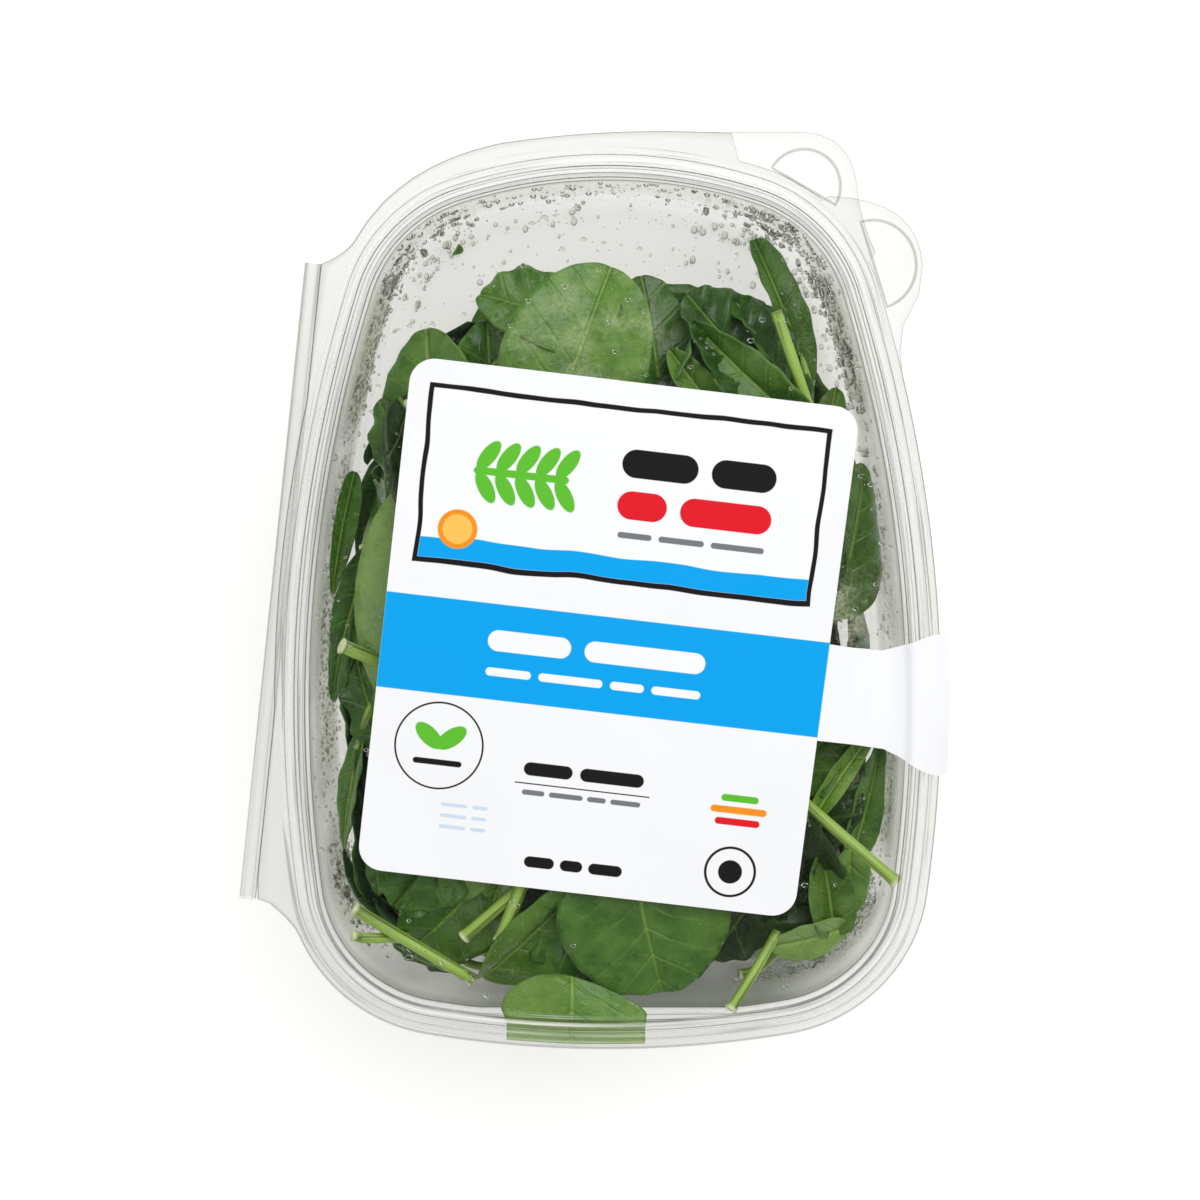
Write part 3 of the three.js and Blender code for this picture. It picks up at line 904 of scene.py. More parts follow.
def hinge_barrel(bm, side, plate_z):
    """One half of the fold's barrel, above or below the flange plates."""
    overlap = 0.2
    section = [
        (HINGE_BARREL + overlap, 0), (HINGE_BARREL, 0), (HINGE_BARREL - 0.5, HINGE_RISE),
        (1.6, HINGE_RISE), (HINGE_PLAY, 0.6), (HINGE_PLAY, 0), (HINGE_PLAY + WALL, 0),
        (1.9, HINGE_RISE - WALL), (HINGE_BARREL - 1, HINGE_RISE - WALL),
        (HINGE_BARREL - 0.6, -WALL), (HINGE_BARREL + overlap, -WALL),
    ]
    start = [hinge_point(-HINGE_LENGTH / 2, inward) for inward, _ in section]
    outline = [
        (at.real, at.imag, plate_z + side * up) for at, (_, up) in zip(start, section)
    ]
    along = HINGE_ALONG * HINGE_LENGTH
    made = prism(bm, outline, (along.real, along.imag, 0))
    ring_place = bm.verts.layers.float[RING]
    for vert, (inward, _) in zip(made, section * 2):
        # The barrel's edges are marked as on the flange's edge line, so they get its painted dark
        # line; the rest is marked as plate.
        on_line = inward < 2 * HINGE_PLAY or inward >= HINGE_BARREL
        vert[ring_place] = (EDGE_LINE if on_line else FLANGE + 1) - AXIS


def grip_ridge(bm, at, degrees, z, height, radius, bulge):
    """A raised D-shaped line on a tab."""
    back, line, steps = -4.0, 0.8, 20
    turn = Matrix.Rotation(math.radians(degrees), 4, "Z")
    bow = [cmath.rect(radius, math.pi * k / steps) + back * 1j for k in range(steps + 1)]
    path = [complex(p.real, bulge * p.imag) for p in bow]
    corner = complex(0, bulge * back)
    path = [corner + radius * 0.5] + path + [corner - radius * 0.5, corner + radius * 0.5]
    spots = [turn @ in_plan(p) + Vector((*at, z)) for p in path]
    made = tube(bm, spots, [line / 2] * len(spots), 8)
    ring_place = bm.verts.layers.float[RING]
    for vert in made:
        # The whole ridge is marked as on the flange's edge line, so it gets that painted dark
        # line.
        vert[ring_place] = EDGE_LINE - 0.08 - AXIS
        vert.co.z = max(vert.co.z, z - 0.05)
        vert.co.z = z + (vert.co.z - z) * height / (line / 2)


LID_TOP = RIM_Z + LID_GAP + WALL     # top face of the lid's flange
TRAY_GRIP = {
    "at": (72.6, 89.6), "degrees": -72, "z": RIM_Z, "height": 0.2, "radius": 11.5, "bulge": 0.95,
}
LID_GRIP = {
    "at": (52.5, 112), "degrees": -30, "z": LID_TOP, "height": 0.8, "radius": 9.5, "bulge": 1.0,
}
# Painted lines along the bends, dark shade and bright glints: offset, width and strength.
TRAY_BENDS = ((0.15, 0.28, 1.2), (2.1, 0.2, 0.7), (3.2, 0.2, 0.7))
TRAY_GLINTS = ((4.6, 0.5, 0.3),)
LID_BENDS = ((1.0, 0.22, 0.8), (3.9, 0.22, 0.9), (6.7, 0.22, 0.5))
LID_GLINTS = ((1.75, 0.5, 0.6), (3.2, 0.3, 0.35), (5.2, 0.5, 0.5), (7.6, 0.4, 0.3))


def shell_mesh(profile, place, side, plate_z, grip):
    """A formed sheet, with its half of the fold and the raised line of its tab."""
    bm = bmesh.new()
    turned(bm, profile, bpy.context.scene.clamshell_pack.rounding, place)
    hinge_barrel(bm, side, plate_z)
    grip_ridge(bm, **grip)
    recalculate(bm)
    return bm


class CLAMSHELL_OT_tray(bpy.types.Operator):
    """Makes the clear tray with its flange, tab and half of the fold"""

    bl_idname = "clamshell.tray"
    bl_label = "Tray"

    def execute(self, context):
        turns = [math.radians(step * 15 - 90) for step in range(7)]
        inner, outer = FLOOR_FILLET, FLOOR_FILLET + WALL
        profile = [(AXIS, WALL)]
        profile += [
            (inner * (math.cos(a) - 1), WALL + inner * (1 + math.sin(a))) for a in turns
        ]
        profile += [(0, 20), (0, 35), (0, 50), (0, RIM_Z - 1), (0.4, RIM_Z - 0.1)]
        # The ridge that the lid snaps over, and the flange.
        profile += [(1.9, RIM_Z), (2.3, RIM_Z + 1.8), (3.0, RIM_Z + 1.8), (3.4, RIM_Z)]
        flange = (8.4, 9.0, FLANGE)
        profile += [(offset, RIM_Z) for offset in flange]
        profile += [(offset, RIM_Z - WALL) for offset in (*flange[::-1], WALL + 0.4)]
        # Down the outside.
        profile += [(WALL, RIM_Z - 1.4), (WALL, 50), (WALL, 35), (WALL, 20)]
        profile += [
            (WALL + outer * (math.cos(a) - 1), outer * (1 + math.sin(a))) for a in turns[::-1]
        ]
        profile.append((AXIS, 0))
        place = flanged(wall_at, (HINGE_PLATE, TRAY_TAB), PLATE_CORNERS + [57 + 106j])
        bm = shell_mesh(profile, place, -1, RIM_Z - WALL, TRAY_GRIP)
        edge = [c * 0.74 for c in context.scene.clamshell_pack.edge_colour]
        plastic = clear_plastic("tray_plastic", edge, TRAY_BENDS, TRAY_GLINTS, tray_mist)
        tray = piece(bm, "tray_shell", TRAY, "clear_tray", plastic)
        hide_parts("tray")
        return {"FINISHED"}


class CLAMSHELL_OT_lid(bpy.types.Operator):
    """Makes the clear lid with its raised rim, flange, tab and half of the fold"""

    bl_idname = "clamshell.lid"
    bl_label = "Lid"

    def execute(self, context):
        top = [
            (AXIS, 3.2), (0.6, 3.2), (1.6, 5.0), (2.0, 5.3), (3.2, 5.3), (3.6, 5.0), (4.2, 2.6),
            (6.4, 2.4), (7.0, 1.0), (8.4, 1.0), (9.0, 1.0), (FLANGE, 1.0),
        ]
        under = [
            (FLANGE, 0.4), (9.0, 0.4), (8.4, 0.4), (6.6, 0.4), (6.0, 1.8), (3.7, 2.0),
            (3.1, 4.5), (2.2, 4.6), (1.1, 2.6), (AXIS, 2.6),
        ]
        profile = [(offset, RIM_Z + z) for offset, z in top + under]
        place = flanged(mouth_at, (HINGE_PLATE, LID_TAB), PLATE_CORNERS)
        bm = shell_mesh(profile, place, 1, LID_TOP, LID_GRIP)
        edge = context.scene.clamshell_pack.edge_colour
        plastic = clear_plastic("lid_plastic", edge, LID_BENDS, LID_GLINTS, lid_mist)
        lid = piece(bm, "lid_shell", LID, "clear_lid", plastic)
        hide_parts("lid")
        return {"FINISHED"}


# Label --------------------------------------------------------------------------------------

class LabelSizes(NamedTuple):
    """The label's middle and sizes, and its tongue."""

    x: float = -0.5
    y: float = -10
    width: float = 117.3
    height: float = 137.2
    corner: float = 6.5
    thickness: float = 0.25
    lift: float = 3.3            # above the tray's rim
    tongue_at: float = -26.0     # offset at which the tongue's middle is at tongue_y
    tongue_y: float = -23.3
    tongue_half: float = 13.0    # half its width, before it flares
    tongue_flare: float = 6.0    # what each half gains by the flange's edge
    flare_from: float = -8.0     # offset at which it starts to widen


LABEL = LabelSizes()
TONGUE_PATH = (              # offset, and height above the tray's rim
    (-14, 3.45), (-6, 3.45), (-1.2, 3.5), (0.4, 4.5), (1.2, 5.35), (1.9, 5.65), (3.3, 5.65),
    (4.2, 5.2), (5.6, 4.2), (7.4, 3.1), (9.0, 2.1), (10.1, 1.1), (10.9, -0.6), (11.6, -3.2),
    (11.9, -5.0),
)


def label_spot(x, y, z):
    """A point of the label, from its middle, in the frame's axes."""
    return in_plan(complex(LABEL.x, LABEL.y) + complex(x, y) * cmath.exp(-1j * TURN), z)


def tongue_spot(share, offset, z):
    """A point of the tongue: share runs from -1 to 1 across it."""
    side_centre, side_radius, _, _ = MOUTH.arcs[2]
    ease = clamp((offset - LABEL.flare_from) / (FLANGE - LABEL.flare_from))
    half = LABEL.tongue_half + LABEL.tongue_flare * ease * ease * (3 - 2 * ease)
    y = LABEL.tongue_y - math.tan(TURN) * (offset - LABEL.tongue_at) + share * half
    x = side_centre.real + math.sqrt((side_radius + offset) ** 2 - (y - side_centre.imag) ** 2)
    return Vector((x, y, z))


class CLAMSHELL_OT_label(bpy.types.Operator):
    """Makes the label and the sealing tongue that runs over the rim"""

    bl_idname = "clamshell.label"
    bl_label = "Label"

    def execute(self, context):
        z = RIM_Z + LABEL.lift
        bm = bmesh.new()
        bmesh.ops.create_grid(bm, x_segments=1, y_segments=1, size=0.5)
        bmesh.ops.scale(bm, vec=(LABEL.width, LABEL.height, 1), verts=bm.verts)
        middle = tongue_spot(0, TONGUE_PATH[0][0], z)
        local = complex(middle.x - LABEL.x, middle.y - LABEL.y) * cmath.exp(1j * TURN)
        for side in (-1, 1):
            bmesh.ops.bisect_plane(
                bm, geom=everything(bm), dist=1e-4,
                plane_co=(0, local.imag + side * LABEL.tongue_half, 0), plane_no=(0, 1, 0),
            )
        corners = [v for v in bm.verts if abs(v.co.y) > LABEL.height / 2 - 0.01]
        bmesh.ops.bevel(
            bm, geom=corners, offset=LABEL.corner, offset_type="OFFSET", affect="VERTICES",
            segments=8, profile=0.5, material=-1,
        )

        def root_edges():
            """Edges of the sheet that the tongue grows from."""
            return [
                edge for edge in bm.edges
                if all(v.co.x > LABEL.width / 2 - 0.01 for v in edge.verts)
                and all(abs(v.co.y - local.imag) < LABEL.tongue_half + 0.01 for v in edge.verts)
            ]

        bmesh.ops.subdivide_edges(bm, edges=root_edges(), cuts=11)
        edges = root_edges()
        share = {}
        for vert in {v for e in edges for v in e.verts}:
            share[vert] = (vert.co.y - local.imag) / LABEL.tongue_half
        for vert in bm.verts:
            vert.co = label_spot(vert.co.x, vert.co.y, z)
        for offset, lift in TONGUE_PATH:
            grown = bmesh.ops.extrude_edge_only(bm, edges=edges)["geom"]
            new = {}
            for vert in of_kind(grown, Vert):
                beside = [edge.other_vert(vert) for edge in vert.link_edges]
                new[vert] = next(share[other] for other in beside if other in share)
                vert.co = tongue_spot(new[vert], offset, RIM_Z + lift)
            edges = [e for e in of_kind(grown, Edge) if all(v in new for v in e.verts)]
            share = new
        face_up(bm)
        bmesh.ops.solidify(bm, geom=bm.faces[:], thickness=-LABEL.thickness)
        label = piece(bm, "label_sheet", LID, "label", label_print("label_film"), sharp=50)
        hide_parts("label")
        return {"FINISHED"}


# Leaves -------------------------------------------------------------------------------------

class Stalk(NamedTuple):
    """A bare stem, from under the leaves to its cut end."""

    start: tuple
    end: tuple
    width: float
    bow: float = 0.5
    on_lip: bool = False     # its end lies over the tray's edge, under the lid


class Leaf(NamedTuple):
    """One leaf, from the base of its blade to its tip."""

    base: tuple
    tip: tuple
    width: float
    facing: tuple = (0, 0, 1)      # the way its upper face looks
    arch: float = 25               # degrees it turns, base to tip, humped towards its face
    fold: tuple = (8, 8)           # degrees the left and right halves rise from the midrib
    curl: tuple = (0, 0)           # degrees they turn further on the way to the edge
    twist: float = 0
    wave: float = 1.6              # height of the ripples near the edge
    skew: float = 0.85             # below 1, widest nearer the base
    blunt: float = 0.6             # lower is rounder
    tone: float = 0.4              # 0 dark to 1 light, and darker or paler still past them
    stem: tuple = ()               # where the stem ends
    stem_width: float = 2.4
    depth: float = 1.0             # kept at least this far from plastic


LEAF_ATTRIBUTES = ("leaf_place", "leaf_spread")
BLADE_THICKNESS = 0.35
LABEL_MOUND = 11         # the heap is higher under the label
SIDE_TOP = 52            # leaves against the walls reach no higher
WALL_RINGS = ((16, 22), (34, 24), (50, 22))     # their heights, and how many in each
LYING_STEP = (22, 25)    # between leaves that lie in a layer, across and along
DROOP_FROM = 30          # past this y the heap is lower and lower
CORE_TOP = 56            # height of its dark core of painted shade
VEIN_GAP = 8.5           # between side veins, along the midrib
VEIN_SLANT = 0.8         # how far they run on along it for each step out


def blade(bm, leaf, across, along, seed):
    """Adds a blade: a grid bent along its midrib, folded, rippled and quilted."""
    place, spread = (bm.verts.layers.float_vector[name] for name in LEAF_ATTRIBUTES)
    base, tip = Vector(leaf.base), Vector(leaf.tip)
    chord = (tip - base).length
    forward = (tip - base).normalized()
    right = forward.cross(Vector(leaf.facing)).normalized()
    up = right.cross(forward)
    arch = math.radians(leaf.arch) or 1e-3
    radius = chord / (2 * math.sin(arch / 2))
    length = radius * arch
    draw = random.Random(seed)
    phases = [draw.uniform(0, 2 * math.pi) for _ in range(4)]
    waves = draw.uniform(1.3, 2.6)
    grid = bmesh.ops.create_grid(bm, x_segments=across, y_segments=along, size=1)["verts"]
    for vert in grid:
        v, u = vert.co.x, (1 + math.sin(math.pi / 2 * vert.co.y)) / 2
        half = leaf.width / 2 * max(math.sin(math.pi * u ** leaf.skew), 0) ** leaf.blunt
        out = abs(v) * half
        side = 0 if v < 0 else 1
        fold = math.radians(leaf.fold[side])
        curl = math.radians(leaf.curl[side]) / (leaf.width / 2)
        if abs(curl) < 1e-5:
            x, z = out * math.cos(fold), out * math.sin(fold)
        else:
            x = (math.sin(fold + curl * out) - math.sin(fold)) / curl
            z = (math.cos(fold) - math.cos(fold + curl * out)) / curl
        ripple = math.sin(2 * math.pi * waves * u + phases[side])
        ripple += 0.3 * math.sin(4.7 * math.pi * waves * u + phases[2 + side])
        z += leaf.wave * abs(v) ** 2.2 * ripple * min(half / 8, 1)
        quilt = math.cos(2 * math.pi * ((u * length - out * VEIN_SLANT) / VEIN_GAP + 0.5))
        quilt *= (0.12 + 0.4 * leaf.wave) * min(out / 5, 1)
        z += quilt - 0.6 * math.exp(-(out / 1.4) ** 2)
        if v < 0:
            x = -x
        turn = math.radians(leaf.twist) * (u - 0.5)
        x, z = x * math.cos(turn) - z * math.sin(turn), x * math.sin(turn) + z * math.cos(turn)
        bow = arch * (u - 0.5)
        y = chord / 2 + radius * math.sin(bow) + z * math.sin(bow)
        lift = radius * (math.cos(bow) - math.cos(arch / 2)) + z * math.cos(bow)
        vert[place] = (v * half, u * length, leaf.tone)
        vert[spread] = (v, u, half)
        vert.co = settle(base + right * x + forward * y + up * lift, leaf.depth)
    bmesh.ops.remove_doubles(bm, verts=grid, dist=1e-3)


CUT_LENGTH = 2.0         # pale end of a cut stem


def stalk(bm, path, width, slim=(), on_lip=False):
    """Adds a ridged stem along a path, pale and a little wider at the cut far end."""
    if not on_lip:
        path = [settle(Vector(p), 0.6 + width / 2, 1.0) for p in path]
    # The far end becomes four steps over the cut's length, each of a width of its own.
    back = (path[-5] - path[-1]).normalized() * CUT_LENGTH
    end = path.pop()
    path += [end + back * (1 - share) for share in (0, 0.6, 0.9, 1)]
    flare = (1.05, 1.25, 1.35, 1.2) if on_lip else (1.02, 1.12, 1.16, 1.0)
    slim = [*slim] + [1.0] * (len(path) - len(slim) - 4) + [*flare]
    place, spread = (bm.verts.layers.float_vector[name] for name in LEAF_ATTRIBUTES)
    first_pale = len(path) - 3

    def mark(vert, step, local):
        vert[place] = (0, clamp((step - first_pale + 1) / 2), 0)
        vert[spread] = (local.x, local.y, step / 12)

    made = tube(bm, path, [width / 2 * s for s in slim], 12, mark)
    if on_lip:
        for vert in made:
            out, _ = MOUTH.reach(complex(vert.co.x, vert.co.y))
            vert.co.z = max(vert.co.z, RIM_Z + 0.1 + 3 * min(out + 0.8, 0))
            vert.co.z = min(vert.co.z, LID_UNDER - 0.1)


def leaf_stem(bm, leaf, seed):
    """Adds a leaf's stem, from inside the blade's base."""
    base, tip, end = Vector(leaf.base), Vector(leaf.tip), Vector(leaf.stem)
    arch = math.radians(leaf.arch)
    forward = (tip - base).normalized()
    up = forward.cross(Vector(leaf.facing)).cross(forward).normalized()
    away = -(forward * math.cos(arch / 2) + up * math.sin(arch / 2))
    reach = (end - base).length
    draw = random.Random(seed)
    sway = Vector([draw.uniform(-0.12, 0.12) * reach for _ in range(3)])
    start = base - away * min(10, 0.2 * (tip - base).length)
    handles = base + away * reach * 0.3, end.lerp(base, 0.3) + sway
    path = interpolate_bezier(start, *handles, end, 11)
    stalk(bm, path, leaf.stem_width, (0.3, 0.8))


def bare_stem(bm, bare):
    start, end = Vector(bare.start), Vector(bare.end)
    lift = Vector((0, 0, bare.bow))
    path = [
        start.lerp(end, step / 9) + lift * math.sin(math.pi * step / 9) for step in range(10)
    ]
    stalk(bm, path, bare.width, on_lip=bare.on_lip)


def leaf_finish(part):
    """The finish of a leaf's part, made when it is first asked for."""
    name = "leaf_" + part
    if name not in bpy.data.materials:
        return stem_green(name) if part == "stem" else leaf_green(name, part == "under")
    return bpy.data.materials[name]


def leaf_mesh():
    """A bmesh with the attributes that the leaf finishes read."""
    bm = bmesh.new()
    place, spread = (bm.verts.layers.float_vector.new(name) for name in LEAF_ATTRIBUTES)
    return bm, place, spread


def leaf_piece(bm, name, thickness):
    """A piece of leaves, given a thickness and a paler under face."""
    made = piece(
        bm, name, TRAY, "spinach", leaf_finish("upper"), leaf_finish("under"), sharp=80,
    )
    skin = made.modifiers.new("thickness", "SOLIDIFY")
    skin.thickness, skin.offset, skin.material_offset = thickness * MM, -1, 1


def salad(name, leaves, across, along, first_seed, bare=()):
    """Makes a piece of leaves, each a grid of across by along, and another of all stems."""
    blades, stems = leaf_mesh()[0], leaf_mesh()[0]
    for index, leaf in enumerate(leaves):
        blade(blades, leaf, across, along, first_seed + index)
        if leaf.stem:
            leaf_stem(stems, leaf, first_seed + index)
    for item in bare:
        bare_stem(stems, item)
    leaf_piece(blades, name, BLADE_THICKNESS)
    if len(stems.verts):
        recalculate(stems)
        piece(stems, name + "_stems", TRAY, "spinach", leaf_finish("stem"), sharp=60)
    else:
        stems.free()


BARE_STEMS = [
    Stalk((44, 76, 60), (53, 50, 61), 3.2),
    Stalk((-57, -19.5, 56), (-71, -12.6, 61), 3.9, 0.2),
    Stalk((-36, -105, 59.5), (-68.5, -84.5, 61), 3.3),
    Stalk((-54, -94, 56), (-70, -92.5, 62), 2.8),
    Stalk((-14, -70, 62), (-39, -92.5, 62), 3.4),
    Stalk((-14, -54, 64), (-29, -93, 64), 3.6),
    Stalk((46, -92, 58), (33, -111, 67.3), 2.7, 1.2, True),
    Stalk((48, -51, 60.5), (77.4, -75.8, 67.2), 3.2, 1.2, True),
]

SHOWN_LEAVES = [
    # Narrow end: a broad leaf lies over the rest, with darker ones round it.
    Leaf((-19, 34, 62), (1, 87.5, 56), 40, (0.05, 0.35, 1), 24, (6, 6), (8, 20), tone=0.9,
         skew=1.1, blunt=0.48, wave=0.35),
    Leaf((15, 40, 57), (9, 85, 53), 23, (0.5, 0.3, 1), 22, (6, 4), (0, 20), tone=0.15,
         skew=1.1, blunt=0.45, wave=1.0),
    Leaf((2, 68, 53), (-34, 80, 50), 24, (0.1, 0.4, 1), 30, (24, 4), (0, 0), wave=2.4, tone=0.6,
         blunt=0.45),
    Leaf((-6, 62, 50), (-29, 74, 50), 18, (-0.2, 0.2, 1), 26, (24, 4), (0, 20), wave=2.0,
         tone=0.4, blunt=0.45),
    Leaf((10, 40, 57), (25, 73, 55), 18, (0.6, 0.1, 1), 20, (30, 20), (60, -30), wave=2.2,
         tone=0.5),
    Leaf((48, 46, 50), (21, 80, 53), 32, (0.2, 0.2, 1), 24, (30, 10), (30, -20), wave=3.6,
         tone=-0.2, blunt=0.45),
    Leaf((46, 60, 50), (34, 78, 50), 18, (0.4, 0.2, 1), 24, (30, 10), (50, -20), wave=3.0,
         tone=0.1, blunt=0.45),
    Leaf((58, 40, 59), (22, 73, 58), 17, (-0.2, -0.5, 1), 16, (30, 4), (10, 0), tone=0.5,
         wave=0.8),
    Leaf((30, 48, 58), (16, 66, 60), 12, (-0.4, 0.3, 1), 30, (30, 10), (60, 30), tone=0.8,
         wave=1.4),
    Leaf((54, 56, 46), (39, 94, 42), 12, (0.4, 0.3, 1), 20, (24, 14), (30, 10), skew=1.1,
         blunt=0.35, wave=0.6, tone=0.25, stem=(54, 46, 50)),
    # Hinge side, from the narrow end down.
    Leaf((-42, 22, 58), (-48, 71, 52), 33, (-0.4, 0.1, 1), 22, (0, 8), (-14, 0), tone=0.45,
         blunt=0.5, wave=0.8),
    Leaf((-30, 40, 52), (-32, 73, 50), 22, (0, 0.3, 1), 30, (10, 10), (0, 0), tone=0.15,
         blunt=0.5, wave=1.4),
    Leaf((-46, 22, 56), (-61, 52, 50), 18, (-0.6, 0, 1), 20, (6, 0), (-10, 0), tone=0.2),
    Leaf((-44, -36, 60), (-49, 32, 59), 43, (-0.12, 0, 1), 14, (0, 0), (-10, 0), tone=1.3,
         blunt=0.45, wave=0.2),
    Leaf((-75.5, -0.5, 51), (-67.5, 33, 54), 10.5, (-0.3, 0, 1), 12, (16, 10), (20, 10), skew=1.3,
         blunt=0.4, wave=0.1, tone=0.0),
    Leaf((-64, 12, 47), (-76, -31, 45), 13, (-0.5, 0, 1), 14, (14, 14), (10, 0), tone=0.0,
         wave=0.6, skew=1.0, blunt=0.5),
    Leaf((-60, -44, 52), (-68, -18, 50), 14, (-0.8, 0, 1), 16, (16, 10), (12, 0), tone=0.05),
    Leaf((-66, -36, 50), (-73, -72, 46), 9, (-0.8, 0, 0.8), 12, (10, 10), (10, 0), tone=0.5,
         wave=0.6, skew=1.1, stem=(-62, -28, 52)),
    Leaf((-58, -46, 54), (-63, -84, 50), 13, (-0.8, 0, 1), 12, (10, 6), (6, 0), tone=0.3,
         wave=0.8),
    # Foot, hinge side.
    Leaf((-40, -62, 60), (-58, -86, 55), 26, (-0.3, -0.3, 1), 24, (10, 16), (0, 16), tone=0.2),
    Leaf((-27, -70, 58), (-54, -99, 52), 30, (-0.1, -0.4, 1), 30, (12, 8), (10, 0), tone=0.12,
         blunt=0.5, wave=0.8),
    Leaf((-34, -105, 58), (0, -70, 59), 32, (0.3, -0.3, 1), 22, (48, 4), (-20, 8), tone=0.3,
         wave=0.8),
    Leaf((-40, -110, 48), (-60, -100, 44), 12, (-0.1, -0.7, 1), 14, (8, 8), (0, 0), tone=0.15),
    Leaf((-30, -60, 62), (-43, -82, 60), 17, (0, -0.2, 1), 20, (14, 14), (10, 10), tone=0.65,
         blunt=0.5, wave=0.4),
    Leaf((-22, -60, 62), (-31, -83, 60), 15, (0, -0.2, 1), 20, (14, 14), (10, 10), tone=0.7,
         blunt=0.5, wave=0.4),
    # Foot, middle.
    Leaf((4, -60, 65), (15, -109, 60), 47, (0.05, -0.35, 1), 26, (4, 6), (-10, -12), tone=0.35,
         skew=1.05, blunt=0.5, wave=0.8),
    Leaf((-18, -84, 58), (-2, -106, 58), 20, (0, -0.4, 1), 20, (14, 8), (0, 0), tone=0.1),
    Leaf((50, -66, 56), (28, -101, 53), 26, (0.2, -0.4, 1), 20, (8, 8), (0, 0), tone=-0.45),
    # Foot, open side.
    Leaf((62, -94, 54), (58, -70, 57), 15, (0.2, -0.1, 1), 24, (24, 24), (10, 14), tone=0.35,
         wave=1.0, blunt=0.45),
    Leaf((48, -84, 50), (57, -64, 55), 14, (-0.4, 0.1, 1), 24, (24, 24), (10, 14), tone=-0.45,
         wave=1.2),
    Leaf((66, -91.5, 54), (44, -96.5, 57), 14, (0.1, -0.5, 1), 26, (6, 6), (0, 10), tone=1.3,
         wave=0.2, blunt=0.5),
    Leaf((54, -61, 62), (71.5, -36, 58), 7, (-0.5, 0.2, 1), 20, (40, -10), (30, 0), tone=1.0,
         wave=0.5, blunt=0.5),
    Leaf((44, -56, 57), (62, -34, 57), 20, (-0.3, -0.2, 1), 24, (20, 10), (30, 10), tone=0.2,
         wave=1.4, blunt=0.5),
    Leaf((66, -76, 50), (74.5, -40, 51), 13, (0.3, 0, 1), 16, (30, 14), (0, 0), tone=0.45,
         wave=1.2, blunt=0.5),
    Leaf((54, -74, 54), (66, -38, 54), 18, (0.2, 0, 1), 16, (16, 14), (0, 0), tone=-0.35,
         wave=1.8),
    Leaf((66, -70, 54), (65, -92, 50), 13, (0.4, 0, 1), 20, (6, 6), (0, 0), tone=1.1,
         wave=0.6, blunt=0.45),
    # Open side.
    Leaf((61, -7, 52), (69, 35, 50), 30, (0.6, 0, 1), 18, (10, 6), (0, -10), tone=0.05,
         wave=0.6, blunt=0.5),
    Leaf((52, 16, 52), (61, 55, 48), 18, (0.5, 0, 1), 18, (10, 10), (0, 0), tone=0.3),
    # A torn bit on the floor.
    Leaf((-43, 87.5, 2), (-41, 91, 2.4), 3.2, (0.3, 0, 1), 20, (50, 10), (60, 0), skew=1.6,
         blunt=0.8, tone=0.4, wave=1.0),
]


def lying(draw, z, spread, droop=0.0, on_top=False):
    """A layer of leaves that lie flat in every direction, all inside the heap."""
    made = []
    for column in range(-3, 4):
        for row in range(-4, 4):
            x = column * LYING_STEP[0] + draw.uniform(-8, 8)
            y = row * LYING_STEP[1] - 4 + draw.uniform(-8, 8)
            out, _ = HEAP.reach(complex(x, y))
            if out > -6 or (on_top and y > 40 and abs(x) > 30):
                continue
            heading = draw.uniform(0, 2 * math.pi)
            span, width = draw.uniform(42, 62), draw.uniform(26, 40)
            way = Vector((math.cos(heading), math.sin(heading), draw.uniform(-0.2, 0.2)))
            middle = Vector((x, y, z + draw.uniform(-spread, spread)))
            if on_top and abs(x) < 45 and abs(y + 10) < 58:
                middle.z += LABEL_MOUND
            middle.z -= droop * max(0, y - DROOP_FROM) ** 2
            for end in (-0.6, 0.6):
                spot = middle + way * span * end
                out, outward = HEAP.reach(complex(spot.x, spot.y))
                middle -= in_plan(outward) * max(out, 0)
            facing = (draw.uniform(-0.4, 0.4), draw.uniform(-0.4, 0.4), 1)
            base, tip = middle - way * span / 2, middle + way * span / 2
            made.append(Leaf(
                base, tip, width, facing, draw.uniform(10, 40),
                (draw.uniform(0, 20), draw.uniform(0, 20)),
                (draw.uniform(-20, 30), draw.uniform(-20, 30)),
                twist=draw.uniform(-20, 20), wave=draw.uniform(0.5, 1.8),
                # Tones drawn darker than most leaves on show, and darker still towards the open
                # side of the foot: partly random tone, partly painted shade for the gaps deep in
                # the heap.
                tone=draw.uniform(-0.4, 0.5) - (0.4 if x > 25 and y < -45 else 0),
                depth=draw.uniform(1.2, 3.0),
                stem=base - way * draw.uniform(8, 18) if y < 0 and column % 2 else (),
            ))
    return made


